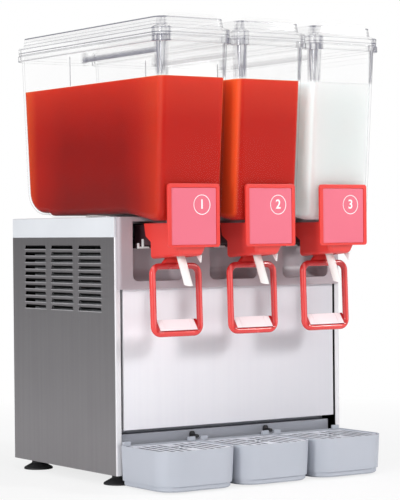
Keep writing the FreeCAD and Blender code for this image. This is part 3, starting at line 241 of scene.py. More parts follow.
def round_off(width, segments):
    bpy.ops.mesh.bevel(offset=width * MM, segments=segments, profile=0.5, affect="EDGES",
                       clamp_overlap=False)


def round_edges(axis, width, segments, rule=lambda middle: True):
    """Round the edges that run along an axis and whose middle passes a rule."""
    pick_edges(axis, rule)
    round_off(width, segments)


def activate(piece):
    rest()
    bpy.context.view_layer.objects.active = piece
    piece.select_set(True)


def modify(piece, kind, **settings):
    """Give a piece one modifier and apply it."""
    activate(piece)
    made = piece.modifiers.new(kind, kind)
    for key, value in settings.items():
        setattr(made, key, value)
    bpy.ops.object.modifier_apply(modifier=made.name)


def thicken(piece, wall, even=True):
    """Give a shell its wall, inwards."""
    modify(piece, "SOLIDIFY", thickness=wall * MM, offset=-1.0, use_even_offset=even)


def soften(piece, width, segments, angle):
    """Small rounding on every edge sharper than an angle."""
    modify(piece, "BEVEL", width=width * MM, segments=segments, limit_method="ANGLE",
           angle_limit=math.radians(angle), harden_normals=False)


def cut_by(piece, cutter, operation="DIFFERENCE"):
    modify(piece, "BOOLEAN", operation=operation, object=cutter, solver="EXACT")
    bpy.data.objects.remove(cutter)


def say(piece):
    print(piece.name, [round(v, 4) for v in piece.dimensions], len(piece.data.polygons), "faces")


def join(piece, *others):
    activate(piece)
    for item in others:
        item.select_set(True)
    bpy.ops.object.join()
    return piece


def smooth(piece, angle):
    activate(piece)
    bpy.ops.object.shade_smooth_by_angle(angle=math.radians(angle))
    modify(piece, "WEIGHTED_NORMAL", keep_sharp=True)


def ease(piece, width, segments, sharp, angle):
    """Round a finished piece's edges a little, then shade it smooth."""
    soften(piece, width, segments, sharp)
    smooth(piece, angle)


print("parts can be shaped")

# %% [markdown]
# ## Three of each
# Most pieces come in threes, one for each bowl. The first is modelled and the others are copies with their
# own mesh, each of which moves with its own joint. A linked copy would be lighter, but couldn't be exported
# as a piece of its own.

# %% Finish a piece and set it in a row
def copy_along(piece, name, x):
    """A copy with its own mesh, moved along the row."""
    activate(piece)
    bpy.ops.object.duplicate(linked=False)
    twin = bpy.context.object
    twin.name = twin.data.name = name
    bpy.ops.transform.translate(value=(x * MM, 0, 0))
    bpy.ops.object.transform_apply()
    return twin


def finish_piece(piece, body, finish, node=None):
    """Give a piece its finish and the body it moves with, and hide the node it stands for."""
    piece.data.materials.clear()
    piece.data.materials.append(finishes[finish])
    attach(piece, body)
    if node:
        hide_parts(node)


def row_of(first, stem, body, finish, node=None):
    """Set one piece at the first bowl and its copies at the others."""
    others = [copy_along(first, f"{stem}_{n}", x - centres[0]) for n, x in zip(numbers[1:], centres[1:])]
    for n, piece in zip(numbers, [first, *others]):
        finish_piece(piece, body.format(n), finish(n) if callable(finish) else finish,
                     node and node.format(n))
    say(first)


def beside(side, near, far):
    """Low and high x of something on one side of the first bowl's middle."""
    return sorted((x + side * near, x + side * far))


print("rows can be set")

# %% [markdown]
# ## Writing a finish as a sum
# A material here is a small calculation. The first class lets a shader socket be added and multiplied like
# a number, so wear or grain reads as a formula. The second holds one material and adds any node by its type.

# %% The material helpers
finishes = {}


class Wire:
    """A value on its way through a material; arithmetic on it adds the Math nodes."""

    def __init__(self, finish, node, output=0):
        self.finish = finish
        self.node = node
        self.socket = node.outputs[output]

    def of(self, output):
        return Wire(self.finish, self.node, output)

    def math(self, operation, other=0.0):
        return self.finish.node("Math", {0: self, 1: other}, operation=operation)

    def __add__(self, other):
        return self.math("ADD", other)

    def __sub__(self, other):
        return self.math("SUBTRACT", other)

    def __rsub__(self, other):
        return self.finish.node("Math", {0: other, 1: self}, operation="SUBTRACT")

    def __mul__(self, other):
        return self.math("MULTIPLY", other)

    __radd__ = __add__
    __rmul__ = __mul__

    def between(self, low, high):
        """0 at low, 1 at high, straight between and level beyond."""
        return (self - low).math("DIVIDE", high - low).over().math("MINIMUM", 1.0)

    def over(self):
        return self.math("MAXIMUM")

    def size(self):
        return self.math("ABSOLUTE")

    def repeat(self, step):
        return self.math("FLOORED_MODULO", step)


class Finish:
    """One material: its surface shader, and one way to add any node."""

    def __init__(self, name):
        self.name = name
        self.begin(bpy.data.materials.new(name), "OutputMaterial")

    def begin(self, block, output):
        self.material = block
        block.use_nodes = True
        self.tree = block.node_tree
        self.tree.nodes.clear()
        self.output = self.node(output)

    def node(self, kind, values=None, **settings):
        """Add a node; its settings first, then the values or links of its sockets."""
        made = self.tree.nodes.new("ShaderNode" + kind)
        for key, value in settings.items():
            setattr(made, key, value)
        for key, value in (values or {}).items():
            if isinstance(value, Wire):
                self.tree.links.new(value.socket, made.inputs[key])
            else:
                made.inputs[key].default_value = value
        return Wire(self, made) if made.outputs else made

    def place(self):
        """Where a point is on the machine, in metres."""
        return self.node("TexCoord").of("Object")

    def axes(self):
        parts = self.node("SeparateXYZ", {0: self.place()})
        return parts.of(0), parts.of(1), parts.of(2)

    def noise(self, scale, detail=3.0, stretch=(1, 1, 1)):
        spot = self.node("Mapping", {"Vector": self.place(), "Scale": stretch})
        return self.node("TexNoise", {"Vector": spot, "Scale": scale, "Detail": detail})

    def blend(self, mask, first, second):
        return self.node("Mix", {0: mask, 6: first, 7: second}, data_type="RGBA").of(2)

    def mixed(self, mask, first, second):
        """Two shaders mixed by a mask."""
        return self.node("MixShader", {0: mask, 1: first, 2: second})

    def bump(self, height, strength, distance=0.0002):
        return self.node("Bump", {"Height": height, "Strength": strength, "Distance": distance})

    def surface(self, **values):
        """The plain surface shader, with its sockets named by words joined by _."""
        named = {key.replace("_", " "): value for key, value in values.items()}
        return self.node("BsdfPrincipled", named)

    def seen(self):
        """1 for what the camera sees, also through clear walls, 0 for what lights the machine."""
        ray = self.node("LightPath")
        return ray.of("Is Camera Ray").math("MAXIMUM", ray.of("Is Transmission Ray"))

    def show(self, shader):
        """Send a shader to the output, and keep the finish by its name."""
        self.tree.links.new(shader.socket, self.output.inputs["Surface"])
        finishes[self.name] = self.material


def tone(red, green, blue):
    """A colour as seen on a screen, 0 to 255, turned into light."""
    def light(c):
        c /= 255
        return c / 12.92 if c <= 0.04045 else ((c + 0.055) / 1.055) ** 2.4
    return (light(red), light(green), light(blue), 1.0)


pitch = (centres[1] - centres[0]) * MM


def from_bowl(x):
    """How far a point is to the right of the nearest bowl's middle."""
    return (x + 1.5 * pitch).repeat(pitch) - 0.5 * pitch


print("finish helpers ready")

# %% [markdown]
# ## Plastics
# Moulded plastic is never one flat colour: the melt leaves slow cloudy patches, handling leaves faint dull
# spots, and the mould's skin gives a fine grain. One recipe holds all three, so the red, grey, white and
# black pieces differ in numbers and not in method. The drip grids' own recipe is pale on top and has
# painted shade just under its skin, on the slot walls, because the slots have to read from far away.

# %% One recipe for moulded plastic
def plastic(name, colour, dark, roughness=0.3, grain=900.0, depth=0.12, coat=0.0, wear=0.12):
    """Moulded plastic with cloudy colour, uneven gloss and a fine skin."""
    f = Finish(name)
    cloud = f.noise(14.0)
    haze = f.noise(95.0, 4.0)
    skin = f.noise(grain, 2.0)
    paint = f.blend(cloud.between(0.3, 0.75) * 0.8, tone(*colour), tone(*dark))
    dull = roughness + haze.between(0.2, 0.8) * wear
    f.show(f.surface(Base_Color=paint, Roughness=dull, Coat_Weight=coat, Coat_Roughness=0.08,
                     Normal=f.bump(skin, depth)))


for facts in [
    ("red_plastic", (229, 62, 55), (225, 57, 51), 0.3, 700.0, 0.05, 0.1),
    ("pale_plastic", (251, 238, 240), (244, 228, 232)),
    ("fascia_plastic", (180, 170, 175), (172, 162, 168), 0.36, 1100.0, 0.2),
    ("deck_plastic", (222, 225, 229), (215, 218, 222), 0.34, 1100.0, 0.15),
    ("tray_plastic", (181, 185, 194), (175, 180, 189), 0.36, 1000.0, 0.18),
    ("white_plastic", (240, 240, 240), (230, 231, 232)),
    ("black_plastic", (38, 38, 41), (30, 30, 33), 0.42, 1200.0, 0.25),
    ("switch_plastic", (44, 44, 48), (36, 36, 40), 0.2, 800.0, 0.06, 0.4),
    ("white_silicone", (244, 243, 240), (234, 234, 231), 0.45, 1500.0, 0.1),
    ("black_rubber", (36, 36, 38), (26, 26, 28), 0.62, 1600.0, 0.4),
    ("black_enamel", (32, 32, 34), (24, 24, 26), 0.16, 300.0, 0.1, 0.6),
]:
    plastic(*facts)


def slotted_plastic():
    """The grid's plastic: pale on top, with painted shade on the slot walls just under its skin."""
    f = Finish("grid_plastic")
    x, y, z = f.axes()
    cloud = f.noise(60.0, 4.0)
    under_skin = z.between(0.0560, 0.0557)
    paint = f.blend(cloud.between(0.3, 0.7) * 0.5, tone(222, 226, 234), tone(208, 212, 222))
    # painted shade: below the top skin, the slot walls are painted dark
    paint = f.blend(under_skin * 0.95, paint, tone(96, 100, 108))
    f.show(f.surface(Base_Color=paint, Roughness=0.32 + cloud * 0.1,
                     Normal=f.bump(f.noise(1000.0), 0.15)))


slotted_plastic()
print("plastics", list(finishes))

# %% [markdown]
# ## Metals
# The cabinet is brushed sheet: fine lines run one way, so the grain is noise drawn out along the sheet. The
# lines change the gloss more than the colour. Soft clouds and a few handling smudges stop it looking
# printed. The hidden machinery gets the same kind of care: enamel, fins, copper and galvanised sheet.

# %% One recipe for sheet and bare metal
def metal(name, colour, dark, roughness, along, metallic, lines, extra=None):
    """Brushed metal whose grain runs along one axis; extra paints what only one panel has."""
    f = Finish(name)
    stretch = {"X": (0.02, 1, 1), "Z": (1, 1, 0.02), "": (1, 1, 1)}[along]
    grain = f.noise(1500.0, 3.0, stretch)
    streak = f.noise(160.0, 3.0, stretch)
    cloud = f.noise(9.0, 2.0)
    paint = f.blend(streak.between(0.35, 0.7) * 0.7 + cloud.between(0.4, 0.7) * 0.3,
                    tone(*colour), tone(*dark))
    if extra:
        paint, metallic = extra(f, paint, metallic)
    gloss = roughness + grain * 0.12 + cloud.between(0.45, 0.8) * 0.06
    f.show(f.surface(Base_Color=paint, Metallic=metallic, Roughness=gloss,
                     Normal=f.bump(grain, lines, 0.00005)))


def louvred(f, paint, metallic):
    """A side panel's slots with painted shade, a painted highlight along the lip of each flap, and a painted
    highlight on its turned-in flange.
    """
    x, y, z = f.axes()
    first_row, row_step, column_start, column_step = 0.332, 0.0096, 0.052, 0.0767
    skin, under_skin = 0.1948, 0.1944
    # painted shade: the flaps inside each slot, under the outer skin, are painted near black
    slot_shade = x.size().between(skin, under_skin) * y.between(-0.078, -0.076)
    paint = f.blend(slot_shade * 0.93, paint, tone(26, 26, 28))
    # painted highlight: a pale line along the lower lip of each slot
    rows = (first_row - z).repeat(row_step)
    lip_highlight = rows.between(0.0054, 0.0057) * rows.between(0.0071, 0.0066) * x.size().between(under_skin, skin)
    lip_highlight = lip_highlight * (y + column_start).repeat(column_step).between(0.0636, 0.0628)
    lip_highlight = lip_highlight * z.between(0.2384, 0.2388) * z.between(0.3322, 0.3318)
    lip_highlight = lip_highlight * y.between(-0.0535, -0.0525) * y.between(0.1660, 0.1650) * 0.4
    paint = f.blend(lip_highlight, paint, tone(226, 226, 229))
    # painted highlight: the front-facing flange is painted pale and less metallic, as if catching the light
    # from the front
    flange_highlight = y.between(-0.0852, -0.0864)
    paint = f.blend(flange_highlight, paint, tone(228, 227, 230))
    return paint, metallic * (1 - lip_highlight) * (1 - flange_highlight * 0.8)


def faded(f, paint, metallic):
    """Painted shade: the front panel turns a little darker to the right."""
    return f.blend(f.axes()[0].between(-0.16, 0.19) * 0.75, paint, tone(200, 199, 205)), metallic


for facts in [
    ("brushed_side_steel", (164, 161, 163), (158, 155, 157), 0.24, "Z", 0.92, 0.12, louvred),
    ("brushed_front_steel", (240, 239, 243), (236, 235, 240), 0.4, "Z", 0.35, 0.05, faded),
    ("grey_steel", (168, 170, 178), (160, 162, 171), 0.36, "X", 0.5, 0.25),
    ("polished_steel", (214, 214, 216), (205, 205, 208), 0.14, "Z", 0.95, 0.05),
    ("bright_steel", (205, 205, 208), (190, 190, 194), 0.22, "", 0.95, 0.1),
    ("zinc_steel", (180, 182, 184), (150, 153, 157), 0.45, "", 0.7, 0.3),
    ("fin_aluminium", (196, 198, 200), (176, 178, 182), 0.4, "", 0.8, 0.3),
    ("copper", (190, 112, 74), (150, 84, 58), 0.3, "X", 0.9, 0.15),
]:
    metal(*facts)
print("finishes", len(finishes))

# %% [markdown]
# ## Clear walls
# The bowls and lids are clear moulded plastic. Looked through squarely they all but vanish, and looked
# along they turn grey, which is why rims and corners read as thin lines. A true glass shader bends light,
# but over a full bowl it adds milky reflections. So the wall lets light straight through, and greys by how
# far it is turned. At each moulded fold, at the rounded corners and over the rib on a bowl's left side, thin
# grey lines and bands of painted shade stand for the light bent there.

# %% Where a clear wall folds
rim_half, rim_ahead, rim_behind = 61, 109.5, 286.5
corner_radius = 17


def outer_skin(across, y, side, ahead):
    """1 on the outside of a rounded ring set in by side and ahead from the rim, 0 on its inside."""
    middle = front + (rim_behind - rim_ahead) / 2 + (ahead - side) / 2
    half_length = (rim_behind + rim_ahead) / 2 - (ahead + side) / 2
    out_x = (across - (rim_half - side - corner_radius) * MM).over()
    out_y = ((y - middle * MM).size() - (half_length - corner_radius) * MM).over()
    away = (out_x * out_x + out_y * out_y).math("SQRT")
    return away.between((corner_radius - 1.4) * MM, (corner_radius - 0.9) * MM)


def fold_lines(x, y, z, across, folds):
    """Painted shade: thin grey lines at the heights where the wall steps, faint in the middle of the row."""
    ends = x.size().between(0.165, 0.172)
    plain = ends.math("MAXIMUM", y.between(-0.172, -0.178) * 0.45) * 0.9 + 0.1
    lines = 0.0
    for height, share, half, side, ahead in folds:
        line = (z - height * MM).size().between(half * MM, half * 0.4 * MM)
        lines = lines + line * outer_skin(across, y, side, ahead) * plain * share
    return lines


def side_band(x, y, z, sideways):
    """Painted shade: a grey band over the rib along a bowl's left side, strongest on the first bowl, and the
    upright seam across it.
    """
    on_side = sideways.between(-0.0505, -0.0512)
    run = on_side * y.between(-0.1765, -0.1755) * y.between(0.011, 0.010)
    run = run * (0.22 + x.between(-0.10, -0.15) * 0.78)
    seam = (y - 0.045).size().between(0.0013, 0.0005) * z.between(0.601, 0.599) * z.between(0.558, 0.560)
    return run * z.between(0.5885, 0.5892) * z.between(0.599, 0.592) * 0.6 + seam * on_side * 0.8


print("folds ready")

# %% The clear plastic
def clear(name, edge, painted_corner, folds, banded=False):
    """Clear plastic: see-through face on, grey where it turns away, with painted lines of shade at its folds
    and corners, and a faint gloss.
    """
    f = Finish(name)
    x, y, z = f.axes()
    haze = f.noise(40.0)
    streak = f.noise(260.0, 2.0, (1, 1, 0.04)).between(0.42, 0.6)
    facing = f.node("LayerWeight", {"Blend": 0.5}).of("Facing")
    front_side = 1 - f.node("NewGeometry").of("Backfacing")
    sideways = from_bowl(x)
    across = sideways.size()
    # painted shade: grey bands down the front and back corners stand for light bent through the rounded
    # corners
    front_corner = across.between(0.043, 0.046) * y.between(-0.175, -0.180) * z.between(0.557, 0.562)
    back_corner = across.between(0.050, 0.055) * y.between(0.184, 0.191) * z.between(0.600, 0.604)
    cover = 0.002 + haze.between(0.45, 0.8) * 0.01 + front_corner * painted_corner * (0.3 + streak * 0.7)
    cover = cover + back_corner * painted_corner * 0.6 + fold_lines(x, y, z, across, folds)
    if banded:
        cover = cover + side_band(x, y, z, sideways)
    cover = cover * front_side + facing.between(0.6, 0.98) * edge
    skin = f.surface(Base_Color=(0.16, 0.16, 0.20, 1), Roughness=0.12)
    through = f.node("BsdfTransparent", {"Color": (0.999, 0.999, 0.999, 1)})
    gloss = f.node("BsdfGlossy", {"Color": (1, 1, 1, 1), "Roughness": 0.06})
    shine = f.node("Fresnel", {"IOR": 1.42}) * front_side * 0.12
    ray = f.node("LightPath")
    looked = 1 - ray.of("Is Shadow Ray").math("MAXIMUM", ray.of("Is Diffuse Ray"))
    f.show(f.mixed(looked * cover, f.mixed(looked * shine, through, gloss), skin))


# each fold: its height, how strong, half its width, and how far the wall is set in there
bowl_folds = [(604.4, 0.5, 1.0, 0.0, 0.0), (611.0, 0.4, 0.9, 0.0, 0.0)]
lid_folds = [(612.7, 0.5, 0.9, 0.0, 0.0), (615.6, 0.7, 1.1, 0.0, 0.0), (621.4, 0.55, 1.0, 0.0, 0.0),
             (627.2, 0.4, 1.0, 5.4, 9.4), (631.6, 0.25, 0.9, 6.0, 10.0), (636.8, 0.95, 1.2, 6.6, 10.6)]
clear("clear_bowl", 0.22, 0.8, bowl_folds, banded=True)
clear("clear_lid", 0.04, 0.55, lid_folds)
print("clear walls ready")

# %% [markdown]
# ## Drinks
# Two bowls hold a red juice and one a cloudy lemonade. Cloudy drinks hide what is in them, so a solid
# surface does. Light and shade are painted into the drink's colour: it is lightest where light comes in
# from above, at the thin corners and at the back end, and painted darker in the middle and low down. The
# faint glow is painted light, standing for light that has crossed the thin edge.

# %% The juice and the lemonade
def drink(name, bright, body, deep, low_tone, rim, spread, share, depth, side_glow=None):
    """A cloudy drink with painted light and shade: brighter near its surface and its ends, deep in the
    middle and low down.
    """
    f = Finish(name)
    bright, body, deep, low_tone, rim = (tone(*colour) for colour in (bright, body, deep, low_tone, rim))
    x, y, z = f.axes()
    pulp = f.noise(30.0, 4.0)
    speck = f.noise(150.0)
    swirl = pulp.between(0.3, 0.7) * 0.12
    middle = y.between(-0.172, -0.085) * y.between(0.185, 0.07)
    # painted light and shade: lighter near the surface, deeper in the middle, darker low down
    colour = f.blend(z.between(0.50, 0.556) * (0.9 - middle * 0.4) + swirl, body, bright)
    colour = f.blend(middle * z.between(0.556, 0.47) * 0.85 + swirl, colour, deep)
    colour = f.blend(z.between(0.44, 0.372) * middle * 0.6, colour, low_tone)
    across = from_bowl(x).size()
    # painted light: the rim tone at the thin front corners, strongest on the first bowl's left side, and at
    # the back end
    painted_corner = across.between(0.0475, 0.0505) * y.between(-0.125, -0.168)
    painted_corner = painted_corner * (0.12 + x.between(-0.178, -0.172) * 0.58)
    colour = f.blend(painted_corner * 0.9 + y.between(0.150, 0.185) * 0.6, colour, rim)
    colour = f.blend(speck.between(0.62, 0.8) * 0.08, colour, bright)
    # painted glow: the juice's corners and the lemonade's sides give off a faint light
    lit, glow = (across.between(0.0485, 0.0505), side_glow) if side_glow else (painted_corner, rim)
    f.show(f.surface(Base_Color=colour, Roughness=0.4, Specular_IOR_Level=0.1,
                     Subsurface_Weight=share, Subsurface_Radius=spread, Subsurface_Scale=depth,
                     Emission_Color=f.blend(lit, (0, 0, 0, 1), glow), Emission_Strength=0.2,
                     Normal=f.bump(pulp, 0.05, 0.001)))


drink("red_juice", (207, 58, 40), (181, 33, 24), (134, 20, 17), (112, 34, 32), (232, 98, 46),
      (1.0, 0.35, 0.25), 0.6, 0.03)
drink("lemonade", (216, 217, 215), (215, 217, 215), (214, 232, 231), (222, 244, 244), (226, 236, 236),
      (1.0, 1.0, 1.0), 1.0, 0.06, (0.45, 1.0, 1.0, 1.0))
print("drinks ready")

# %% [markdown]
# ## The bowl
# The bowl is a deep moulded trough: its sides lean out a little, its back turns up in a wide curve, and its
# front drops into a nose that feeds the tap. It could be drawn as outlines and lofted. Here a box is bent
# to the side view, its side edges are rounded in one go, and a wall is then given to the whole shell,
# because that keeps the inside and outside in step. The drink is the same form made smaller.

# %% The form shared by bowl and drink
bowl_base = deck_top + 0.3
bowl_rise = 240.4
foot_half, foot_ahead, foot_behind = 54, 90, 269
nose_drop = 9.5


def bowl_ring(z, e):
    """The bowl's outline at a height, set in by e, as two corners."""
    up = (z - bowl_base) / bowl_rise
    half = foot_half + 3 * up - e
    return ((x - half, front - foot_ahead - 15.5 * up + e, z),
            (x + half, front + foot_behind + 13.5 * up - e, z))


def trough(name, e, top):
    """The bowl's outside, or with an inset e what fills it, closed at the top."""
    foot = bowl_base - nose_drop + e
    piece = box_start(name, (x - foot_half + e, front - foot_ahead + e, foot),
                      (x + foot_half - e, front + foot_behind - e, top))
    pick_points(lambda p: p.z > top - 1)
    fit(*bowl_ring(top, e))
    slice_at("Y", front - 61, front - 6)
    pick_points(lambda p: p.z < foot + 1 and p.y > front - 7)
    shift(z=nose_drop)
    for back, radius, segments in ((1, 38, 9), (-1, 15, 5)):
        pick("EDGE", lambda g: g.between(lambda n: n.y * back > 0.8, lambda n: n.z < -0.8))
        round_off(radius - e, segments)
    pick("EDGE", lambda g: g.middle.z < top - 0.5
         and g.between(lambda n: abs(n.x) > 0.9, lambda n: abs(n.x) < 0.5))
    round_off(13.5 - e, 5)
    slice_at("Y", front + 206, front + 209)
    pick_points(lambda p: p.y > front + 208 and p.z < bowl_base + 39)
    low, high = chosen_box()
    fit((low.x, low.y, low.z + 4.5), high)
    return piece


print("trough form ready")

# %% The bowls
rim_low, rim_high, wall = 603.7, span("bowl_1")[1].z, 3.0
y_dome = front + 110


def rim_ring(z, side=0.0, ahead=0.0):
    """The rim's outline at a height, grown by side and ahead, as two corners."""
    return ((x - rim_half - side, front - rim_ahead - ahead, z),
            (x + rim_half + side, front + rim_behind + side, z))


bowl = trough("clear_bowl_1", 0.0, rim_low)
pick_faces("+Z")
open_up()
pick_points(lambda p: p.z > rim_low - 0.1)
push()
fit(*rim_ring(rim_low))
push(z=rim_high - rim_low)
thicken(bowl, wall)
cut_by(bowl, disc_start("hole", 39.4, (x, y_dome, bowl_base - 20), (x, y_dome, bowl_base + 20), 72))
spigot = disc_start("spigot", 5.5, (x, front - 62, bowl_base - 20.5), (x, front - 62, bowl_base - 8.5), 32)
pick_faces("-Z")
inset(2.0)
push(z=9)
ribs = []
for side in (-1, 1):
    x0, x1 = beside(side, 53.9, 51.7)
    ribs.append(box_start("rib", (x0, front - 88, 590), (x1, front + 96, 597)))
    pick_faces("+X" if side < 0 else "-X")
    inset(1.2)
join(bowl, spigot, *ribs)
ease(bowl, 0.7, 2, 50, 30)
row_of(bowl, "clear_bowl", "bowl_{}", "clear_bowl", "bowl_{}")

# %% [markdown]
# ## The drink in each bowl
# The drink stops well below the rim. A flat lid on it would look cut, so its surface turns up a hair's
# breadth where it meets the wall. A pit clears the cooling dome and the stirrer, so that the bowl can lift
# away with it.

# %% The drinks
level, gap = 558.5, wall + 0.25
fill = trough("drink_1", gap, level)
pick_faces("+Z")
inset(2.5)
shift(z=-1.0)
pit = disc_start("pit", 39.7, (x, y_dome, bowl_base - 20), (x, y_dome, bowl_base + 10), 72)
pick_faces("+Z")
inset(6.9)
push(z=446 - bowl_base - 10)
cut_by(fill, pit)
smooth(fill, 40)
row_of(fill, "drink", "bowl_{}", lambda n: "lemonade" if n == 3 else "red_juice")

# %% [markdown]
# ## The lid
# The lid is a shallow stepped cap: an upright edge over the bowl's rim, a slope, a flat top, and a raised
# lip in front to lift it by. Rings of the same outline, each a little smaller and higher, give the steps,
# and the wall's thickness then draws the double lines that clear lids show.

# %% The lids
lid_low, lid_top = span("lid_1")[0].z + 6.0, span("lid_1")[1].z
roof, lid_wall = lid_top - 5.0, 2.4
steps = [(0.5, 0.5, lid_low + 9.6), (-0.6, -0.8, lid_low + 11.6), (-4.6, -8.2, lid_low + 13.6),
         (-5.4, -9.4, lid_low + 15.2), (-6.6, -10.6, roof - 0.6), (-7.6, -11.6, roof)]
height = lid_low + 1
lid = box_start("clear_lid_1", rim_ring(lid_low)[0], rim_ring(height)[1])
round_edges("Z", 18, 6)
pick_faces("-Z")
open_up()
for side, ahead, z in steps:
    pick_faces("+Z", lambda c: c.z > height - 0.05)
    if z > steps[0][2]:
        push()
    fit(*rim_ring(z, side, ahead))
    height = z
thicken(lid, lid_wall)
grip = slab("grip", 41, front - 97.5, front - 86, lid_top - 7.0, lid_top)
pick("EDGE", lambda g: abs(g.way.z) > 0.9 or g.middle.z > lid_top - 0.1)
round_off(2.6, 3)
pick_faces("-Z")
open_up()
thicken(grip, 2.2, even=False)
collar = slab("collar", 53.1, front - 101.6, front + 278.6, lid_low - 6, lid_low + 2.4)
round_edges("Z", 10, 5)
pick("FACE", lambda c, n: abs(n.z) > 0.9)
open_up()
thicken(collar, lid_wall, even=False)
join(lid, grip, collar)
ease(lid, 0.5, 2, 50, 30)
row_of(lid, "clear_lid", "lid_{}", "clear_lid", "lid_{}")

# %% [markdown]
# ## The tap cover
# A red framed plate stands before the bowl, and a hood below it hides the tap. It is one moulding. The
# plate is a box with its face set in, and the hood is a second box bent to the side view and opened at the
# bottom and back. Two boxes are easier to bend than one, and nobody sees where they meet.

# %% The plates
plate_low, plate_high = span("tap_cover_1")
y_plate, z_plate, plate_half = plate_low.y, plate_high.z - 86.0, 42
cover = slab("red_cover_1", plate_half, y_plate, y_plate + 4, z_plate, plate_high.z)
pick_faces("-Y")
inset(5.4)
pick_points(lambda p: p.y < y_plate + 0.1 and abs(p.x - x) < 39 and p.z < z_plate + 10)
shift(z=-2.4)
pick_faces("-Y", lambda c: abs(c.x - x) < 1 and abs(c.z - z_plate - 42) < 8)
push(y=1.8)
round_edges("Y", 4.2, 5, lambda m: abs(m.x - x) > 41)
round_edges("Y", 2.2, 3, lambda m: abs(m.x - x) < 38)
soften(cover, 0.9, 3, 50)
say(cover)

# %% The hoods
hood_back, hood_low = front - 11, 313
hood = slab("hood", 26, y_plate + 3.5, hood_back, hood_low, 361.5)
slice_at("Z", 336, 344)
pick_points(lambda p: p.z < 337 and p.y > hood_back - 1)
shift(y=-17)
pick_points(lambda p: 340 < p.z < 345 and p.y > hood_back - 1)
shift(y=-4)
pick_points(lambda p: p.z < hood_low + 1 and p.y < y_plate + 5)
fit_slab(18, y_plate + 8, y_plate + 8, 317.0, 317.0)
pick("EDGE", lambda g: g.middle.z < 330 and g.middle.y < front - 40
     and (g.middle.z < 318 or abs(g.way.z) > 0.7))
round_off(5, 4)
pick("FACE", lambda c, n: n.y > 0.3 or n.z > 0.9)
open_up()
thicken(hood, 2.2)
cut_by(hood, slab("mouth", 15, y_plate + 19.5, front, 300, 318))
soften(hood, 0.5, 2, 50)
join(cover, hood)
smooth(cover, 35)
row_of(cover, "red_cover", "cabinet", "red_plastic", "tap_cover_{}")

# %% [markdown]
# ## The badge
# A glossy pink-red panel lies in each frame, and a white ring with the bowl's number is printed on it. A
# picture laid on the panel could show the same, but these marks are thin meshes, so they stay sharp from
# any distance.

# %% The badge panels
plastic("badge_pink", (231, 114, 133), (228, 111, 130), 0.3, 500.0, 0.03, 0.0, 0.02)
plastic("print_white", (252, 246, 247), (246, 238, 240), 0.35)
badge = slab("badge_1", 36.2, y_plate + 0.95, y_plate + 1.9, z_plate + 3.4, plate_high.z - 5.8)
round_edges("Y", 1.5, 3)
pick("EDGE", lambda g: g.between(lambda n: n.y < -0.9, lambda n: abs(n.y) < 0.5))
round_off(0.4, 2)
smooth(badge, 40)
row_of(badge, "badge", "cabinet", "badge_pink")

# %% The rings and numbers
def ring(name, cx, cz):
    """A flat printed ring, its face just proud of the panel."""
    y = y_plate + 0.75
    band = disc_start(name, 13.6, (cx, y, cz), (cx, y + 0.3, cz), 64, "Y")
    pick_faces("-Y")
    inset(1.9)
    pick_faces("-Y", lambda c: abs(c.x - cx) < 0.1 and abs(c.z - cz) < 0.1)
    shift(y=0.4)
    return band


def numeral(text, cx, cz):
    """A number as a thin mesh, upright and facing the customer."""
    rest()
    bpy.ops.object.text_add(location=(0, 0, 0))
    words = bpy.context.object.data
    words.body = text
    words.size = 18 * MM
    words.align_x = words.align_y = "CENTER"
    words.extrude = 0.15 * MM
    words.offset = 0.25 * MM
    bpy.ops.object.convert(target="MESH")
    item = bpy.context.object
    item.rotation_euler = (math.pi / 2, 0, 0)
    item.location = (cx * MM, (y_plate + 0.85) * MM, cz * MM)
    bpy.ops.object.transform_apply()
    return item


for n, cx in zip(numbers, centres):
    spot = (cx + 13.0, z_plate + 57.5)
    mark = ring(f"badge_ring_{n}", *spot)
    join(mark, numeral(str(n), *spot))
    finish_piece(mark, "cabinet", "print_white")
say(mark)

# %% [markdown]
# ## The handle's plastic
# The push handles are the same red, but glossier, with painted shade on the inside of the loop and a
# painted highlight along its front. Painting by hand could show this too. A formula on the place is used,
# because it stays right on all three copies.

# %% The handle's own plastic
def loop_plastic():
    """The same red, with painted shade on the inside of the loop and a painted highlight along its front."""
    f = Finish("loop_red_plastic")
    x, y, z = f.axes()
    cloud = f.noise(14.0)
    haze = f.noise(95.0, 4.0)
    across = from_bowl(x).size()
    in_loop = z.between(0.309, 0.306)
    # painted shade on the inside faces of the loop
    inside = across.between(0.0362, 0.0346) * z.between(0.2128, 0.2145) * in_loop
    # painted highlight along the front of each bar
    front_highlight = across.between(0.0362, 0.0376) * across.between(0.0398, 0.0384)
    front_highlight = front_highlight * z.between(0.216, 0.222) * in_loop
    paint = f.blend(cloud.between(0.3, 0.75) * 0.8, tone(226, 62, 58), tone(220, 56, 53))
    paint = f.blend(inside * 0.75, paint, tone(176, 30, 36))
    paint = f.blend(front_highlight * 0.45, paint, tone(244, 140, 140))
    f.show(f.surface(Base_Color=paint, Roughness=0.2 + haze.between(0.35, 0.8) * 0.1,
                     Coat_Weight=0.3, Coat_Roughness=0.06, Normal=f.bump(f.noise(700.0), 0.05)))


loop_plastic()
print("finishes", len(finishes))

# %% [markdown]
# ## The push handle
# A cup is pushed against a rounded loop that hangs from the tap. The loop is a block with rounded corners
# and a rounded opening cut through it, turned a little so that its foot stands forward. A neck joins it to
# the hinge, a nose presses the tube, and two webs carry the pad. All of it moves as one. A swept curve
# could make the loop too, but in a cut block the opening's corners can be tighter than the outer ones.

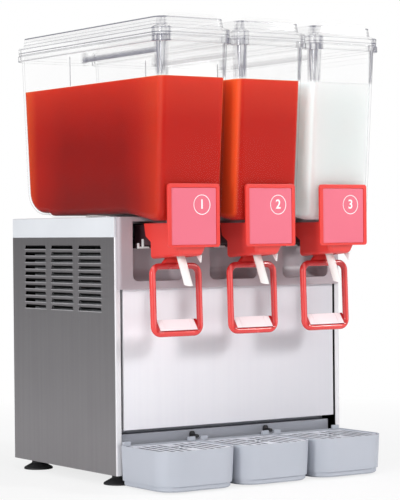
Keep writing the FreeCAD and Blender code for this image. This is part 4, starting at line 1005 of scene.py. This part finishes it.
# %% The loops
y_back, loop_half, loop_top = front - 52 + 4.25, 42, 307
lean = math.atan(3.5 / 95)
loop = slab("red_handle_1", loop_half, y_back - 5.5, y_back + 3, 206.5, loop_top)
round_edges("Y", 15, 8)
opening = slab("opening", 33.4, y_back - 30, y_back + 10, 215.1, 298.4)
round_edges("Y", 7.5, 7)
cut_by(loop, opening)
modify(loop, "BEVEL", width=3.9 * MM, segments=5, limit_method="ANGLE", angle_limit=math.radians(60))
bpy.ops.object.mode_set(mode="EDIT")
pick_points()
turn_by(lean, "X", (x, y_back, loop_top))
print("loop from", [round(v, 1) for v in chosen_box()[0]], "to", [round(v, 1) for v in chosen_box()[1]])

# %% The necks and webs
neck_half, y_hinge = 12, front - 43
neck = slab("neck", neck_half, front - 47, front - 39, 306.5, 342)
slice_at("Z", 313)
pick_points(lambda p: p.z < 312)
fit_slab(27, y_back - 4.6, y_back + 2.1, 301.5, 301.5)
pick("EDGE", lambda g: abs(g.way.z) > 0.4)
round_off(2.0, 3)
boss = disc_start("boss", 6.0, (x - neck_half, y_hinge, 340), (x + neck_half, y_hinge, 340), 32, "X")
y_nose = front - 58.7
nose = slab("nose", neck_half, y_nose, front - 45, 321, 331)
pick_points(lambda p: p.y < front - 58)
fit_slab(neck_half, y_nose, y_nose, 324.5, 327.5)
tail = slab("tail", 6, y_hinge, front - 20, 337.5, 342.5)
pick("EDGE", lambda g: abs(g.way.y) > 0.9 or g.middle.y > front - 21)
round_off(1.0, 2)
webs = []
for side in (-1, 1):
    x0, x1 = beside(side, 34.4, 30.6)
    webs.append(box_start("web", (x0, y_back - 10, 213.5), (x1, y_back + 2.0, 229.9)))
    slice_at("Z", 215.5)
    pick_points(lambda p: p.z > 229 and p.y < y_back - 9)
    shift(y=10)
join(loop, neck, boss, nose, tail, *webs)
smooth(loop, 40)
row_of(loop, "red_handle", "tap_handle_{}", "loop_red_plastic", "tap_handle_{}")

# %% [markdown]
# ## The cup pad
# A pale slanting pad in the loop's foot meets the cup. It has two shallow ribs, so that a wet cup doesn't
# slip. A box is leaned over, and two strips of its face are raised. Ribs laid on it as pieces of their own
# would leave faces hidden inside.

# %% The pads
pad = slab("pale_pad_1", 30.3, y_back - 10.4, y_back - 7.8, 215.6, 230.0)
pick_points(lambda p: p.z > 229)
shift(y=10.6)
rib_in, rib_out = 20.5, 22
slice_at("X", x - rib_out, x - rib_in, x + rib_in, x + rib_out)
pick("FACE", lambda c, n: n.y < -0.3 and n.z > 0.1 and rib_in < abs(c.x - x) < rib_out)
push(y=-0.5, z=0.5)
ease(pad, 0.5, 2, 40, 40)
row_of(pad, "pale_pad", "tap_handle_{}", "pale_plastic", "cup_pad_{}")

# %% [markdown]
# ## The outlet tube
# The soft tube leaves the bowl's spigot, is nipped between the handle's nose and the bracket's ridge, and
# leans forward out of the hood. It is a bar whose sections are moved and turned one by one. A curve with a
# round section would be quicker, but it couldn't be pressed flat where the tube is nipped.

# %% The tubes
y_tube, nip_low, nip_high = front - 62, 324.5, 327.5
tube = disc_start("outlet_tube_1", 6.1, (x, y_tube, 318), (x, y_tube, 350), 32)
slice_at("Z", nip_low, nip_high, 333, 338.5)
pick_points(lambda p: 324 < p.z < 328)
fit_slab(6.8, y_tube - 3.0, y_tube + 3.0, nip_low, nip_high)
pick_points(lambda p: p.z > 337)
fit_slab(7.4, y_tube - 7.4, y_tube + 7.4, 338.5, 360.4)
pick_faces("-Z")
turn_by(math.radians(-14), "X", (x, y_tube, 318))
pick("FACE", lambda c, n: n.z < -0.8 and c.z < 319)
push(y=-19.0, z=-40.5)
inset(2.0)
push(y=9.0, z=19.0)
smooth(tube, 50)
row_of(tube, "outlet_tube", "cabinet", "white_silicone", "pinch_tubes")

# %% [markdown]
# ## The tap brackets
# A dark bracket on the pocket's back wall carries the hinge pin between two arms, and its cross plate backs
# the soft tube. Only its shadowed side shows past the hood. The small white hooks beside it catch the
# light, so they are a piece of their own: a bar with two prongs drawn up from it, and a fin below the hood.

# %% The brackets
y_wall_in, bracket_top = front + 22, 359.6
plastic("dark_plastic", (62, 36, 42), (50, 30, 36), 0.4, 900.0, 0.1)
bracket = slab("tap_bracket_1", 21, y_wall_in - 3, y_wall_in, 327.2, bracket_top)
slice_at("X", x - 17, x + 17)
slice_at("Z", 332)
pick_faces("-Y", lambda c: abs(c.x - x) > 17 and c.z > 332)
push(y=-71)
pick_points(lambda p: p.y < y_wall_in - 70 and p.z < 333)
shift(y=6)
cross = slab("cross", 16, front - 77, front - 73, 318.5, bracket_top)
slice_at("Z", nip_low, nip_high)
pick_faces("+Y", lambda c: 324.6 < c.z < 327.4)
push(y=7.8)
cap = slab("cap", 17.5, front - 74, y_wall_in - 2, bracket_top - 2, bracket_top)
join(bracket, cross, cap)
ease(bracket, 0.4, 2, 50, 40)
row_of(bracket, "tap_bracket", "cabinet", "dark_plastic")

# %% The hooks
fin = box_start("fin", (x + 19.0, y_plate + 13, 308), (x + 20.6, y_plate + 26, 317.5))
pick_points(lambda p: p.z < 309)
fit((x + 19.2, y_plate + 14, 307.5), (x + 20.4, y_plate + 16, 307.5))
# the bar, its outer prong and its inner prong: far and near, then low and high
bars = [(31.5, 12.0, 327.0, 329.6), (31.5, 28.7, 328.0, 334.5), (24.2, 21.2, 328.0, 340.0)]
hooks = []
for side in (-1, 1):
    for far, near, z_low, z_high in bars:
        x0, x1 = beside(side, far, near)
        hooks.append(box_start("hook", (x0, front - 4.5, z_low), (x1, front - 1.0, z_high)))
        pick_faces("+Z")
        bpy.ops.transform.resize(value=(0.85, 0.7, 1))
hook = join(hooks[0], *hooks[1:], fin)
hook.name = "white_hooks_1"
ease(hook, 0.5, 2, 40, 40)
row_of(hook, "white_hooks", "cabinet", "white_plastic", "tap_brackets")

# %% [markdown]
# ## The front moulding
# A grey moulding closes the deck in front, with a rounded pocket behind each tap that leaves the handle
# room to swing. The pockets are cut with rounded blocks, whose floor corners are wide, and every edge gets
# a small rounding that catches the light. Faces pushed in would make pockets too, but with sharp corners.

# %% The fascia
fascia_low, fascia_high = span("front_fascia")
fascia = box_start("fascia", fascia_low, (fascia_high.x, front, fascia_high.z))
round_edges("Z", 5.6, 5, lambda m: m.y < front - 5)
pick("EDGE", lambda g: g.middle.z > fascia_high.z - 0.1 and g.middle.y < front - 0.5)
round_off(1.4, 3)
for cx in centres:
    shell = slab("shell", 44, front - 5, front + 25, 279, 367.5, cx)
    round_edges("Y", 12, 5, lambda m: m.z < 280)
    cut_by(fascia, shell, "UNION")
for cx in centres:
    pocket = slab("pocket", 41, front - 20, front + 22, 282, 364.5, cx)
    pick("EDGE", lambda g: g.between(lambda n: n.y > 0.9, lambda n: n.z < -0.9))
    round_off(18, 8)
    pick("EDGE", lambda g: g.middle.z < 364
         and g.between(lambda n: abs(n.x) > 0.9, lambda n: abs(n.x) < 0.5))
    round_off(8.5, 5)
    cut_by(fascia, pocket)
    cut_by(fascia, slab("window", 37, front + 15, front + 30, 327, 361, cx))
ease(fascia, 0.6, 2, 40, 35)
finish_piece(fascia, "cabinet", "fascia_plastic", "front_fascia")
say(fascia)

# %% [markdown]
# ## The deck
# The bowls stand on a pale deck that laps down over the side panels. It is a box opened at the front and
# below, with a hole for each motor's boss. A plate with three flaps would do as well, but its corners
# would have to be joined by hand.

# %% The deck
low, high = span("top_deck")
deck = box_start("deck", low, high)
pick("EDGE", lambda g: g.middle.z > high.z - 0.1 and g.middle.y > low.y + 1)
round_off(1.8, 3)
pick("FACE", lambda c, n: n.z < -0.9 or n.y < -0.9)
open_up()
thicken(deck, 3.0)
for cx in centres:
    cut_by(deck, disc_start("bore", 22.6, (cx, y_dome, high.z - 20), (cx, y_dome, high.z + 20), 56))
ease(deck, 0.5, 2, 45, 35)
finish_piece(deck, "cabinet", "deck_plastic", "top_deck")
say(deck)

# %% [markdown]
# ## The drip trays
# Each tray is a deep box with wide round front corners, a skirt set in at its foot, a ledge for the grid
# and two ears at the back that drop between the rail's pegs. Its walls lean in a little so that it leaves
# its mould. One box is inset and pushed down step by step, so inside and outside stay one closed surface.
# The hollow could be cut out instead, but then each step would need a cutter.

# %% The trays
half, rim, skirt_top, tray_foot = 62.75, 57.5, 10.1, 2.6
y_rim, y_wall = span("drip_tray_1")[0].y, front - 3
tray = slab("tray_1", half, y_rim, y_wall, skirt_top, rim)
round_edges("Z", 30, 10, lambda m: m.y < front - 60)
round_edges("Z", 4, 3, lambda m: m.y > y_wall - 1)
pick_faces("-Z")
fit_slab(half - 2, y_rim + 2, y_wall, skirt_top, skirt_top)
inset(2.2)
push(z=-5.5)
push(z=-2.0)
fit_slab(half - 6.2, y_rim + 6.2, y_wall - 4, tray_foot, tray_foot)
pick_faces("+Z")
inset(2.4)
push(z=-4.5)
inset(3.0)
push(z=-46.0)
fit_slab(half - 9.5, y_rim + 9.5, y_wall - 6.5, 6.0, 6.0)
ears = []
for side in (-1, 1):
    x0, x1 = beside(side, half - 3.4, half - 15)
    ears.append(box_start("ear", (x0, y_wall - 3.5, rim - 1), (x1, y_wall, rim + 5.0)))
join(tray, *ears)
ease(tray, 0.8, 3, 40, 35)
row_of(tray, "tray", "drip_tray_{}", "tray_plastic", "drip_tray_{}")

# %% [markdown]
# ## The drip grids
# A grid lies in each tray's ledge. Long slots run front to back, and a star of spokes fills a round well
# under the outlet. All the slots are cut in one go with a comb of bars, because one cut keeps the mesh
# cleaner than eight.

# %% The grids
grid_low, grid_high = span("drip_grid_1")
y_hub = (grid_low.y + grid_high.y) / 2
cut_low, cut_high = 52, 57
slot_step, slot_half = 12.4, 3.1
grid = box_start("drip_grid_mesh_1", grid_low, grid_high)
round_edges("Z", 27, 9, lambda m: m.y < y_hub)
combs = []
for i in (-4, -3, -2, -1, 1, 2, 3, 4):
    reach, middle = (41 if abs(i) < 4 else 34), x + i * slot_step
    combs.append(box_start("bar", (middle - slot_half, y_hub - reach, cut_low),
                           (middle + slot_half, y_hub + reach, cut_high)))
    round_edges("Z", 2.6, 3)
cut_by(grid, join(*combs))
cut_by(grid, disc_start("well", 15.5, (x, y_hub, cut_low), (x, y_hub, cut_high), 40))
spokes = []
for i in range(5):
    spokes.append(slab("spoke", 17, y_hub - 1.3, y_hub + 1.3, grid_low.z, grid_high.z - 0.2))
    pick_points()
    turn_by(math.radians(36 * i), "Z", (x, y_hub, 0))
hub = disc_start("hub", 4.5, (x, y_hub, grid_low.z), (x, y_hub, grid_high.z), 24)
pick_faces("+Z")
inset(1.0)
join(grid, hub, *spokes)
ease(grid, 0.3, 2, 60, 40)
row_of(grid, "drip_grid_mesh", "drip_grid_{}", "grid_plastic", "drip_grid_{}")

# %% [markdown]
# ## The feet
# Each foot is a soft flared pad under a slim neck. A disc is drawn up ring by ring. Turning a profile
# gives the same form, but here each width stays a number that can be read.

# %% The feet
low, high = span("feet")
inner = 21.5
rings = ((20.6, 2.9), (15.5, 4.2), (11.5, 6.2), (9.6, 9.0), (9.2, high.z - 9))
feet = []
for cx in (low.x + inner, high.x - inner):
    for cy in (low.y + inner, high.y - inner):
        feet.append(disc_start("foot", 21.4, (cx, cy, 0), (cx, cy, 1.6), 56))
        for radius, z in rings:
            pick_faces("+Z")
            push()
            fit((cx - radius, cy - radius, z), (cx + radius, cy + radius, z))
foot = join(*feet)
foot.name = "foot_pads"
ease(foot, 0.5, 2, 30, 40)
finish_piece(foot, "cabinet", "black_rubber", "feet")
say(foot)

# %% [markdown]
# ## The rail's upstand
# Behind the rail a folded strip closes the gap under the front panel, so that no drip runs into the
# cabinet. It is a thin box whose top is drawn up and then forward, with an end block where the trays leave
# a gap. A plane with a thickness would do, but a box has its edges ready to be rounded.

# %% The upstand
upstand = box_start("rail_upstand", (-182, front + 21.4, 30), (178, front + 22.4, 80))
pick_faces("+Z")
push(z=1.5)
push(y=4, z=1.5)
end = box_start("end", (171.4, front + 9.6, 30), (179.6, front + 22.0, 71))
pick_faces("+Z")
inset(1.5)
join(upstand, end)
ease(upstand, 0.3, 2, 40, 40)
finish_piece(upstand, "cabinet", "grey_steel")
say(upstand)

# %% [markdown]
# ## The peg clips
# Each black peg sits in a rounded clip on the rail, and a tray's ears drop in beside it. A flat card would
# pass from the front. A box with its face drawn out a little also holds from the side.

# %% The clips
clips = []
for cx in (-64, 64):
    clips.append(slab("clip", 4.2, front + 7.2, front + 9.1, 56.5, 69, cx))
    round_edges("Y", 3.6, 5, lambda m: m.z > 68)
    pick_faces("-Y")
    inset(0.8)
    push(y=-0.6)
clip = join(*clips)
clip.name = "peg_clips"
ease(clip, 0.3, 2, 40, 40)
finish_piece(clip, "cabinet", "black_plastic")
say(clip)

# %% [markdown]
# ## The tap's spring
# A small steel coil presses the handle's tail down. It is drawn as one wire swept round the upright axis
# at the origin and moved to its tap. A stack of rings would look much the same, but it couldn't end like a
# wire.

# %% The springs
wire, coil_radius, turns = 0.6, 3.9, 5
for n in numbers:
    low, high = span(f"tap_spring_{n}")
    middle = (low + high) / 2 * MM
    rest()
    bpy.ops.mesh.primitive_circle_add(vertices=8, radius=wire * MM, fill_type="NGON",
                                      rotation=(math.pi / 2, 0, 0),
                                      location=(coil_radius * MM, 0, (low.z + wire) * MM))
    spring = opened(f"tap_coil_{n}")
    spring_height = (high.z - low.z - 2 * wire) * MM
    modify(spring, "SCREW", angle=2 * math.pi * turns, screw_offset=spring_height, iterations=1,
           steps=100, render_steps=100, use_normal_calculate=True, use_merge_vertices=True)
    spring.location = (centres[n - 1] * MM, middle.y, 0)
    bpy.ops.object.transform_apply()
    smooth(spring, 60)
    finish_piece(spring, "cabinet", "bright_steel", f"tap_spring_{n}")
    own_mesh(spring)
say(spring)

# %% [markdown]
# ## Finishes of the pieces that stay as they are
# Sheet metal, screws, machinery and controls already have their real form, so they keep their mesh and get a
# finish each.

# %% Dress the model's own nodes
other_names = {"pale_grey_plastic": "deck_plastic", "grey_plastic": "fascia_plastic",
               "clear_plastic": "clear_bowl"}
dressed = 0
for part in frame["record"]["subparts"]:
    wanted = part["material_slot"]
    for material_slot in frame["nodes"][part["node"]].material_slots:
        material_slot.material = finishes[other_names.get(wanted, wanted)]
        dressed += 1
print("dressed", dressed, "slots")

# %% [markdown]
# ## Studio
# The machine stands on a plain pale floor under soft light. A broad lamp stands to the right of the camera
# and a little above, as the shadows on the steel front show, a second one lights the left side, and a pale
# room fills the rest. What the camera sees of the room is white; it lights the machine far less.

# %% The floor and the room
def studio_floor():
    """A matt floor that the camera sees as nearly white, more so far from the machine."""
    f = Finish("pale_floor")
    x, y, z = f.axes()
    paint = f.blend(f.noise(3.0, 2.0) * 0.15, (0.93, 0.93, 0.935, 1), (0.88, 0.88, 0.885, 1))
    matt = f.surface(Base_Color=paint, Roughness=0.55)
    glow = f.node("Emission", {"Color": (1, 1, 1, 1), "Strength": 1.0})
    far = (x * x + y * y).between(0.12, 1.6)
    f.show(f.mixed(f.seen() * (0.78 + far * 0.22), matt, glow))


class Room(Finish):
    """The world's light, written with the same nodes as a finish."""

    def __init__(self):
        bpy.context.scene.world = bpy.data.worlds.new("room")
        self.name = "room"
        self.begin(bpy.context.scene.world, "OutputWorld")

    def place(self):
        return self.node("TexCoord").of("Generated")

    def background(self, colour, strength):
        return self.node("Background", {"Color": colour, "Strength": strength})


rest()
bpy.ops.mesh.primitive_plane_add(size=1, location=(0, 0, 0))
floor = opened("floor")
bpy.ops.mesh.select_all(action="SELECT")
bpy.ops.mesh.subdivide(number_cuts=3)
bpy.ops.transform.resize(value=(14, 14, 1))
rest()
studio_floor()
floor.data.materials.append(finishes["pale_floor"])

room = Room()
x_way, y_way, z_way = room.axes()
strength = 0.42 + x_way.between(0.0, -1.0) * 1.05 + z_way.between(0.0, 1.0) * 0.45
strength = strength * (1 - y_way.between(-0.05, 0.6) * 0.82) * (1 - y_way.between(-0.2, -0.9) * 0.52)
light = room.background((0.98, 0.985, 1.0, 1), strength)
room.show(room.mixed(room.seen(), light, room.background((1, 1, 1, 1), 1.0)))
print("floor", [round(v) for v in floor.dimensions])

# %% The lamps
def lamp(name, place, target, size, power):
    """A round area lamp that looks at a target."""
    rest()
    bpy.ops.object.light_add(type="AREA", location=place)
    item = bpy.context.object
    item.name = name
    item.data.shape = "DISK"
    item.data.size = size
    item.data.energy = power
    item.rotation_euler = (Vector(target) - Vector(place)).to_track_quat("-Z", "Y").to_euler()


lamp("key_lamp", (1.56, -1.77, 1.25), (0, -0.05, 0.33), 0.5, 27)
lamp("left_lamp", (-2.3, -1.3, 0.75), (0, -0.1, 0.3), 0.5, 23)
lamp("top_lamp", (0.1, -0.2, 2.4), (0, 0, 0.3), 1.2, 6)
print("lamps", len(bpy.data.lights))

# %% [markdown]
# ## Camera
# One pinhole camera fits all the long edges in the photograph: it stands to the left, at the height of the
# taps, and is turned a hair out of level. Its matrix is set in full, so that the tilt is kept. Looking
# through three clear bowls crosses many walls, so rays may pass more see-through faces than usual.

# %% The camera
rest()
bpy.ops.object.camera_add()
camera = bpy.context.object
camera.name = "camera"
yaw, down, roll = (math.radians(v) for v in (34.274, 0.562, -0.536))
level_ahead = Vector((math.sin(yaw), math.cos(yaw), 0))
level_right = Vector((math.cos(yaw), -math.sin(yaw), 0))
upright = Vector((0, 0, 1))
ahead = math.cos(down) * level_ahead - math.sin(down) * upright
level_up = math.cos(down) * upright + math.sin(down) * level_ahead
right = math.cos(roll) * level_right + math.sin(roll) * level_up
up = -math.sin(roll) * level_right + math.cos(roll) * level_up
turn = Matrix((right, up, -ahead)).transposed().to_4x4()
camera.matrix_world = Matrix.Translation(Vector((-1.588, -2.3388, 0.3504))) @ turn
camera.data.sensor_fit = "AUTO"
camera.data.sensor_width = 36
camera.data.lens = 139.3
camera.data.clip_end = 50
bpy.context.scene.camera = camera
bpy.context.scene.view_settings.view_transform = "Standard"
bpy.context.scene.cycles.transparent_max_bounces = 64
print("camera at", [round(v, 3) for v in camera.location])
